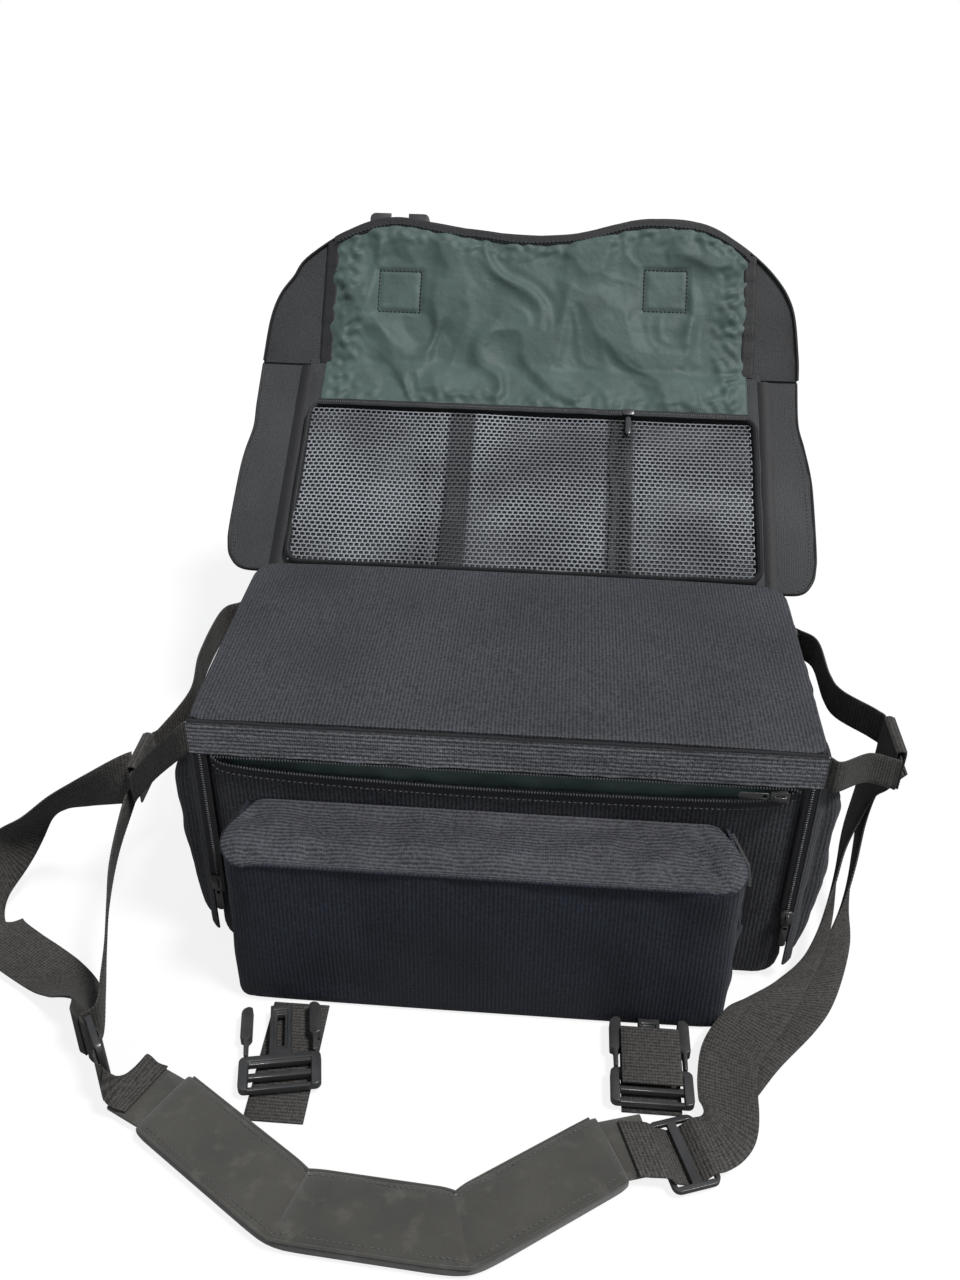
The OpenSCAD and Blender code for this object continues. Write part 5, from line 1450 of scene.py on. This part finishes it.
IMAGE_POINTS = {
    "lid_front_left": (185, 721),
    "lid_front_right": (830, 757),
    "lid_back_right": (777, 596),
    "lid_back_left": (267, 571),
    "pocket_front_left": (227, 858),
    "pocket_front_right": (739, 890),
    "pocket_foot_left": (244, 992),
    "pocket_foot_right": (717, 1024),
    "left_buckle": (279, 1050),
    "lining_box_left": (400, 292),
    "lining_box_right": (665, 292),
    "net_band_left": (430, 490),
    "net_band_right": (625, 500),
    "side_zip_slider": (787, 918),
    "left_adjuster": (96, 1055),
    "right_adjuster": (684, 1155),
}


def camera_axes():
    """The camera's right, up and back directions."""
    a, e, roll = (math.radians(v) for v in (CAMERA_TURN, CAMERA_DIP, CAMERA_ROLL))
    back = Vector((math.sin(a) * math.cos(e), -math.cos(a) * math.cos(e), math.sin(e)))
    right = Vector((math.cos(a), math.sin(a), 0))
    up = back.cross(right)
    return (
        math.cos(roll) * right + math.sin(roll) * up,
        -math.sin(roll) * right + math.cos(roll) * up,
        back,
    )


def photo_ray(x, y):
    """Start and direction of the line of sight through a point of the photograph's frame."""
    size = max(PHOTO_W, PHOTO_H)
    right, up, back = camera_axes()
    px, py = x - PHOTO_W / 2 + SHIFT_X * size, PHOTO_H / 2 - y + SHIFT_Y * size
    way = right * px + up * py - back * (size * CAMERA_LENS / SENSOR)
    return Vector(CAMERA_AT), way.normalized()


def photo_spot(place):
    """Where a place in the frame shows in the photograph's frame, in its pixels."""
    right, up, back = camera_axes()
    d = Vector(place) - Vector(CAMERA_AT)
    size = max(PHOTO_W, PHOTO_H)
    scale = size * CAMERA_LENS / SENSOR / -d.dot(back)
    return (PHOTO_W / 2 - SHIFT_X * size + d.dot(right) * scale, PHOTO_H / 2 + SHIFT_Y * size - d.dot(up) * scale)


def seen_at(point, *names):
    """Place on the named objects that shows at an image point, or the nearest to its line of sight."""
    start, way = photo_ray(*IMAGE_POINTS[point])
    best, nearest = None, None
    for name in names:
        mesh = bpy.data.objects[tag(name)].data
        tree = BVHTree.FromPolygons([v.co for v in mesh.vertices], [p.vertices for p in mesh.polygons])
        hit, _, _, distance = tree.ray_cast(start, way)
        if hit and (best is None or distance < best[1]):
            best = (hit, distance)
        for v in mesh.vertices:
            off = (v.co - start).cross(way).length
            if nearest is None or off < nearest[1]:
                nearest = (v.co.copy(), off)
    return np.array(best[0] if best else nearest[0]) / MM


def make_stitches(trim):
    """Stitch rows on the band, the lining's top and the wings, and two boxes on the lining."""
    size = stitch_size(trim)
    pitch = trim.stitch_pitch / MM
    rows = []
    for z in (177.4, 181.0, 188.0, 195.6):
        line = np.column_stack([np.linspace(-196, 196, 60), np.full(60, -102.15), np.full(60, z)])
        line[:, 2] += 0.5 * ripple(line[:, 0], 0 * line[:, 0], 131 + int(z), 90, 25)
        pts, way = along_line(line, pitch)
        rows.append((pts, way, (0, -1, 0)))
    beads("Band stitches", rows, size, FINISH["thread"], "bag")
    lift = on_apron(0.0, 0.0, 1.0) - on_apron(0.0, 0.0, 0.0)
    rows = []
    for cx, ct in LINING_BOXES:
        corners = [(cx + i * BOX_HALF, ct + j * BOX_HALF) for i, j in ((-1, -1), (1, -1), (1, 1), (-1, 1), (-1, -1))]
        box = straight_line([(x, t, 0) for x, t in corners], 2.0)
        pts, way = along_line(lining_at(box[:, 0], box[:, 1], 0.7), pitch)
        rows.append((pts, way, lift))
    x = np.linspace(-184, 185, 120)
    pts, way = along_line(on_apron(x, hem_height(x, 7.4) + 0.8 * np.sin(x / 11.0), 3.4), pitch)
    rows.append((pts, way, lift))
    beads("Lining stitches", rows, (3.6, 2.0, 1.3), FINISH["dark_thread"], "apron")
    rows = []
    lift = on_panel(0.0, 0.0, 1.0) - on_panel(0.0, 0.0, 0.0)
    for side in (-1, 1):
        line = wing_line(side)[4:-2]
        edge = on_panel(line[:, 0] - side * 6.0, line[:, 1], 0.5)
        pts, way = along_line(edge, pitch)
        body = f"wing_{'left' if side < 0 else 'right'}"
        beads(f"Wing stitches {side + 2}", [(pts, way, lift)], size, FINISH["thread"], body)


CORDS = ("strap", "adjuster", "shoulder", "pad", "loop")
OBJECT_EDGES = {
    "object_left": (0, np.min), "object_right": (0, np.max), "object_top": (1, np.min), "object_bottom": (1, np.max),
}
# Only object_top was read off the photograph. The others give where the built bag's outline reached, not the
# photograph's.
EDGE_MARKS = {"object_left": 175, "object_right": 841, "object_top": 217, "object_bottom": 1111}


def silhouette():
    """Where the finished vertices of the bag show in the photograph's frame, without its straps."""
    right, up, back = (np.array(axis) for axis in camera_axes())
    size = max(PHOTO_W, PHOTO_H)
    spots = []
    for obj in bpy.context.scene.objects:
        if obj.type != "MESH" or obj.hide_render or obj.name in NODES or obj.name == "floor":
            continue
        if any(word in obj.name for word in CORDS):
            continue
        co = np.zeros(len(obj.data.vertices) * 3, np.float32)
        obj.data.vertices.foreach_get("co", co)
        d = co.reshape(-1, 3) - np.array(CAMERA_AT)
        scale = size * CAMERA_LENS / SENSOR / -(d @ back)
        x, y = d @ right * scale, d @ up * scale
        spots.append(np.column_stack([PHOTO_W / 2 - SHIFT_X * size + x, PHOTO_H / 2 + SHIFT_Y * size - y]))
    return np.vstack(spots)


def write_points():
    """Works out where each named image point shows, and how far each edge of the outline lies from its mark."""
    spots = {
        "lid_front_left": ("Band webbing", (-199, -101, 199)),
        "lid_front_right": ("Band webbing", (199, -101, 199)),
        "lid_back_right": ("Lid cloth", (193, 95, 196)),
        "lid_back_left": ("Lid cloth", (-193, 95, 196)),
        "pocket_front_left": ("Front pocket cloth", (-173, -147, 126)),
        "pocket_front_right": ("Front pocket cloth", (153, -147, 126)),
        "pocket_foot_left": ("Front pocket cloth", (-173, -148, 2)),
        "pocket_foot_right": ("Front pocket cloth", (153, -148, 2)),
    }
    # the middle of every finished vertex of a piece, hidden ones too
    middles = {
        "left_buckle": "male_buckle_left moulding",
        "net_band_left": "Net pleat left", "net_band_right": "Net pleat right",
        "side_zip_slider": "side_slider_right casting", "left_adjuster": "adjuster_left moulding",
        "right_adjuster": "adjuster_right moulding",
    }
    for point, mark in IMAGE_POINTS.items():
        if point in spots:
            name, near = spots[point]
            mesh = bpy.data.objects[tag(name)].data
            x, y = photo_spot(min((v.co for v in mesh.vertices), key=lambda co: (co - Vector(near) * MM).length))
        elif point in middles:
            shown = np.array([photo_spot(v.co) for v in bpy.data.objects[tag(middles[point])].data.vertices])
            x, y = (shown.min(0) + shown.max(0)) / 2
        else:
            cx, ct = LINING_BOXES[0 if point.endswith("left") else 1]
            x, y = photo_spot(lining_at(np.array(cx), np.array(ct)) * MM)
    seen = silhouette()
    for point, (axis, pick) in OBJECT_EDGES.items():
        off = pick(seen[:, axis]) - EDGE_MARKS[point]


# ---- the room ----


def make_room(look):
    """White floor and backdrop, two soft lamps and an even sky, and the camera."""
    scene = bpy.context.scene
    scene.view_settings.view_transform = "Standard"
    world = bpy.data.worlds.new("Plain sky")
    world.use_nodes = True
    tree = world.node_tree
    sky = tree.nodes["Background"]
    sky.inputs["Strength"].default_value = look.sky
    white = tree.nodes.new("ShaderNodeBackground")
    path = tree.nodes.new("ShaderNodeLightPath")
    mix = tree.nodes.new("ShaderNodeMixShader")
    sky.inputs["Color"].default_value = (0.92, 0.96, 1.0, 1)
    white.inputs["Color"].default_value = (1, 1, 1, 1)
    tree.links.new(path.outputs["Is Camera Ray"], mix.inputs[0])
    tree.links.new(sky.outputs[0], mix.inputs[1])
    tree.links.new(white.outputs[0], mix.inputs[2])
    tree.links.new(mix.outputs[0], tree.nodes["World Output"].inputs["Surface"])
    scene.world = world
    floor = bpy.data.meshes.new("Floor")
    floor.from_pydata([(-4, -4, -0.0006), (4, -4, -0.0006), (4, 4, -0.0006), (-4, 4, -0.0006)], [], [(0, 1, 2, 3)])
    paper = Board("White paper")
    paper.bsdf.inputs["Roughness"].default_value = 0.9
    glow = paper.new("ShaderNodeEmission")
    blend = paper.new("ShaderNodeMixShader")
    ray = paper.new("ShaderNodeLightPath")
    tone = paper.new("ShaderNodeMix", data_type="RGBA")
    tone.inputs["A"].default_value, tone.inputs["B"].default_value = (0.2, 0.2, 0.2, 1), (0.9, 0.9, 0.9, 1)
    paper.link(ray.outputs["Is Camera Ray"], tone.inputs["Factor"])
    paper.link(tone.outputs["Result"], paper.bsdf.inputs["Base Color"])
    shadow = paper.maths("MULTIPLY", ray.outputs["Is Camera Ray"], look.paper)
    paper.link(shadow, blend.inputs[0])
    paper.link(paper.bsdf.outputs[0], blend.inputs[1])
    paper.link(glow.outputs[0], blend.inputs[2])
    paper.link(blend.outputs[0], paper.tree.nodes["Material Output"].inputs["Surface"])
    floor.materials.append(paper.material)
    ground = bpy.data.objects.new("floor", floor)
    scene.collection.objects.link(ground)
    for name, energy, angle, turn in (
        ("Overhead lamp", look.overhead, 10, (9, 24, 0)),
        ("Front lamp", look.front_lamp, 30, (42, -28, 0)),
    ):
        lamp = bpy.data.lights.new(name, "SUN")
        lamp.energy, lamp.angle = energy, math.radians(angle)
        obj = bpy.data.objects.new(name, lamp)
        obj.rotation_euler = [math.radians(v) for v in turn]
        scene.collection.objects.link(obj)
    camera = bpy.data.cameras.new("Camera")
    camera.lens, camera.sensor_width, camera.sensor_fit = CAMERA_LENS, SENSOR, "AUTO"
    camera.shift_x, camera.shift_y, camera.clip_start = SHIFT_X, SHIFT_Y, 0.01
    obj = bpy.data.objects.new("Camera", camera)
    right, up, back = camera_axes()
    obj.matrix_world = Matrix.Translation(CAMERA_AT) @ Matrix((right, up, back)).transposed().to_4x4()
    scene.collection.objects.link(obj)
    scene.camera = obj


# ---- settings, operators and panel ----


def colour(name, text, value):
    return bpy.props.FloatVectorProperty(name=name, description=text, subtype="COLOR", min=0, max=1, default=value)


def length(name, text, value):
    return bpy.props.FloatProperty(
        name=name, description=text, subtype="DISTANCE", unit="LENGTH", default=value, precision=4
    )


def strength(name, text, value):
    return bpy.props.FloatProperty(name=name, description=text, default=value, min=0)


class BagColours(bpy.types.PropertyGroup):
    """Colours of the bag's cloth, webbing and fittings."""

    shell: colour("Shell nylon", "Ribbed nylon of the body, lid and pockets", (0.070, 0.071, 0.084))
    flap: colour("Flap nylon", "Lighter nylon of the flap's strip and outside", (0.075, 0.082, 0.09))
    wing: colour("Wing nylon", "Nylon of the flap's wings and panel", (0.045, 0.046, 0.048))
    webbing: colour("Webbing", "Woven straps and loops", (0.085, 0.08, 0.074))
    # Partly the band's own grey and partly painted light: set far lighter than the webbing would show under these
    # lamps.
    band: colour("Band", "Webbing band across the top of the front", (0.29, 0.29, 0.32))
    trim: colour("Trim", "Binding tapes, piping and zip tapes", (0.016, 0.016, 0.018))
    net: colour("Net", "Strands of the flap's net pocket", (0.33, 0.35, 0.38))
    lining: colour("Lining", "Satin lining of the flap and the pockets", (0.066, 0.104, 0.094))
    suede: colour("Suede", "Nap of the shoulder pad", (0.056, 0.053, 0.044))
    worn: colour("Worn suede", "Rubbed patches of the shoulder pad", (0.085, 0.081, 0.068))
    plastic: colour("Plastic", "Buckles, adjusters and sliders", (0.042, 0.042, 0.043))
    # Partly the coils' own dark colour and partly painted highlight, raised so the coils show light along their turns.
    coil: colour("Zip coil", "Coils of the zips", (0.1, 0.103, 0.11))
    thread: colour("Thread", "Sewing thread", (0.10, 0.10, 0.105))


class BagTrim(bpy.types.PropertyGroup):
    """Sizes of what repeats."""

    stitch_length: length("Stitch length", "Length of one stitch", 0.0024)
    stitch_pitch: length("Stitch pitch", "From one stitch to the next", 0.0036)
    coil_pitch: length("Zip coil pitch", "From one turn of a zip coil to the next", 0.0019)
    net_pitch: length("Net pitch", "Width of one mesh of the net", 0.0046)
    net_strand: length("Net strand", "Thickness of the net's strands", 0.0012)


class RoomLook(bpy.types.PropertyGroup):
    """Light of the room."""

    sky: strength("Sky", "Strength of the even sky", 0.4)
    overhead: strength("Overhead lamp", "Strength of the lamp over the bag", 3.1)
    front_lamp: strength("Front lamp", "Strength of the lamp in front", 0.15)
    paper: strength("Paper glow", "Share of the floor that shows plain white, up to 1", 0.85)


class BAG_OT_finishes(bpy.types.Operator):
    """Mixes every material, and the node trees for stitches, coils and net."""

    bl_idname = "bag.finishes"
    bl_label = "Mix finishes"
    bl_options = {"REGISTER", "UNDO"}

    def execute(self, context):
        make_finishes(context.scene.bag_colours)
        TREES.update(beads=bead_tree(), net=net_tree())
        return {"FINISHED"}


class BAG_OT_body(bpy.types.Operator):
    """Body walls, their floor, and the padding and lining inside."""

    bl_idname = "bag.body"
    bl_label = "Body"
    bl_options = {"REGISTER", "UNDO"}

    def execute(self, context):
        make_body()
        make_inside()
        make_band()
        return {"FINISHED"}


class BAG_OT_lid(bpy.types.Operator):
    """Domed lid, its piping and its zip."""

    bl_idname = "bag.lid"
    bl_label = "Lid"
    bl_options = {"REGISTER", "UNDO"}

    def execute(self, context):
        make_lid()
        make_lid_zip(context.scene.bag_trim)
        return {"FINISHED"}


class BAG_OT_pockets(bpy.types.Operator):
    """Front pocket with its top, the slash pocket, and both side pockets."""

    bl_idname = "bag.pockets"
    bl_label = "Pockets"
    bl_options = {"REGISTER", "UNDO"}

    def execute(self, context):
        make_front_pocket()
        make_pocket_top()
        make_slash_pocket(context.scene.bag_trim)
        make_side_pockets()
        make_side_zips(context.scene.bag_trim)
        return {"FINISHED"}


class BAG_OT_flap(bpy.types.Operator):
    """Flap: its strip, panel with the net pocket, wings, and lined apron."""

    bl_idname = "bag.flap"
    bl_label = "Flap"
    bl_options = {"REGISTER", "UNDO"}

    def execute(self, context):
        make_strip()
        make_panel(context.scene.bag_trim)
        make_wings()
        make_apron()
        make_trim()
        return {"FINISHED"}


class BAG_OT_straps(bpy.types.Operator):
    """Side loops, shoulder webbing, suede pad, and the buckles' straps."""

    bl_idname = "bag.straps"
    bl_label = "Straps"
    bl_options = {"REGISTER", "UNDO"}

    def execute(self, context):
        make_loops()
        make_shoulder_webbing()
        make_pad(context.scene.bag_trim)
        make_buckle_straps()
        return {"FINISHED"}


class BAG_OT_fittings(bpy.types.Operator):
    """Buckles, adjusters, zip sliders and their pulls."""

    bl_idname = "bag.fittings"
    bl_label = "Buckles and sliders"
    bl_options = {"REGISTER", "UNDO"}

    def execute(self, context):
        make_buckles()
        make_sliders()
        return {"FINISHED"}


class BAG_OT_stitches(bpy.types.Operator):
    """Rows of stitches on the band, the lining and the wings."""

    bl_idname = "bag.stitches"
    bl_label = "Stitches"
    bl_options = {"REGISTER", "UNDO"}

    def execute(self, context):
        make_stitches(context.scene.bag_trim)
        return {"FINISHED"}


class BAG_OT_room(bpy.types.Operator):
    """White room with its lamps and the camera."""

    bl_idname = "bag.room"
    bl_label = "Room"
    bl_options = {"REGISTER", "UNDO"}

    def execute(self, context):
        make_room(context.scene.bag_room)
        return {"FINISHED"}


STEPS = (
    BAG_OT_finishes, BAG_OT_body, BAG_OT_lid, BAG_OT_pockets, BAG_OT_flap, BAG_OT_straps, BAG_OT_fittings,
    BAG_OT_stitches, BAG_OT_room,
)


class BAG_PT_panel(bpy.types.Panel):
    """Lists the bag's sizes, colours and steps."""

    bl_idname, bl_label = "BAG_PT_panel", "Camera bag"
    bl_space_type, bl_region_type, bl_category = "VIEW_3D", "UI", "Camera bag"

    def draw(self, context):
        for settings in (context.scene.bag_colours, context.scene.bag_trim, context.scene.bag_room):
            for key in settings.__annotations__:
                self.layout.prop(settings, key)
        for step in STEPS:
            self.layout.operator(step.bl_idname)


CLASSES = (BagColours, BagTrim, RoomLook, *STEPS, BAG_PT_panel)


def register():
    for cls in CLASSES:
        bpy.utils.register_class(cls)
    bpy.types.Scene.bag_colours = bpy.props.PointerProperty(type=BagColours)
    bpy.types.Scene.bag_trim = bpy.props.PointerProperty(type=BagTrim)
    bpy.types.Scene.bag_room = bpy.props.PointerProperty(type=RoomLook)


def unregister():
    for name in ("bag_colours", "bag_trim", "bag_room"):
        delattr(bpy.types.Scene, name)
    for cls in reversed(CLASSES):
        bpy.utils.unregister_class(cls)


def main():
    register()
    for step in STEPS:
        group, name = step.bl_idname.split(".")
        getattr(getattr(bpy.ops, group), name)()
    write_points()


if __name__ == "__main__":
    main()
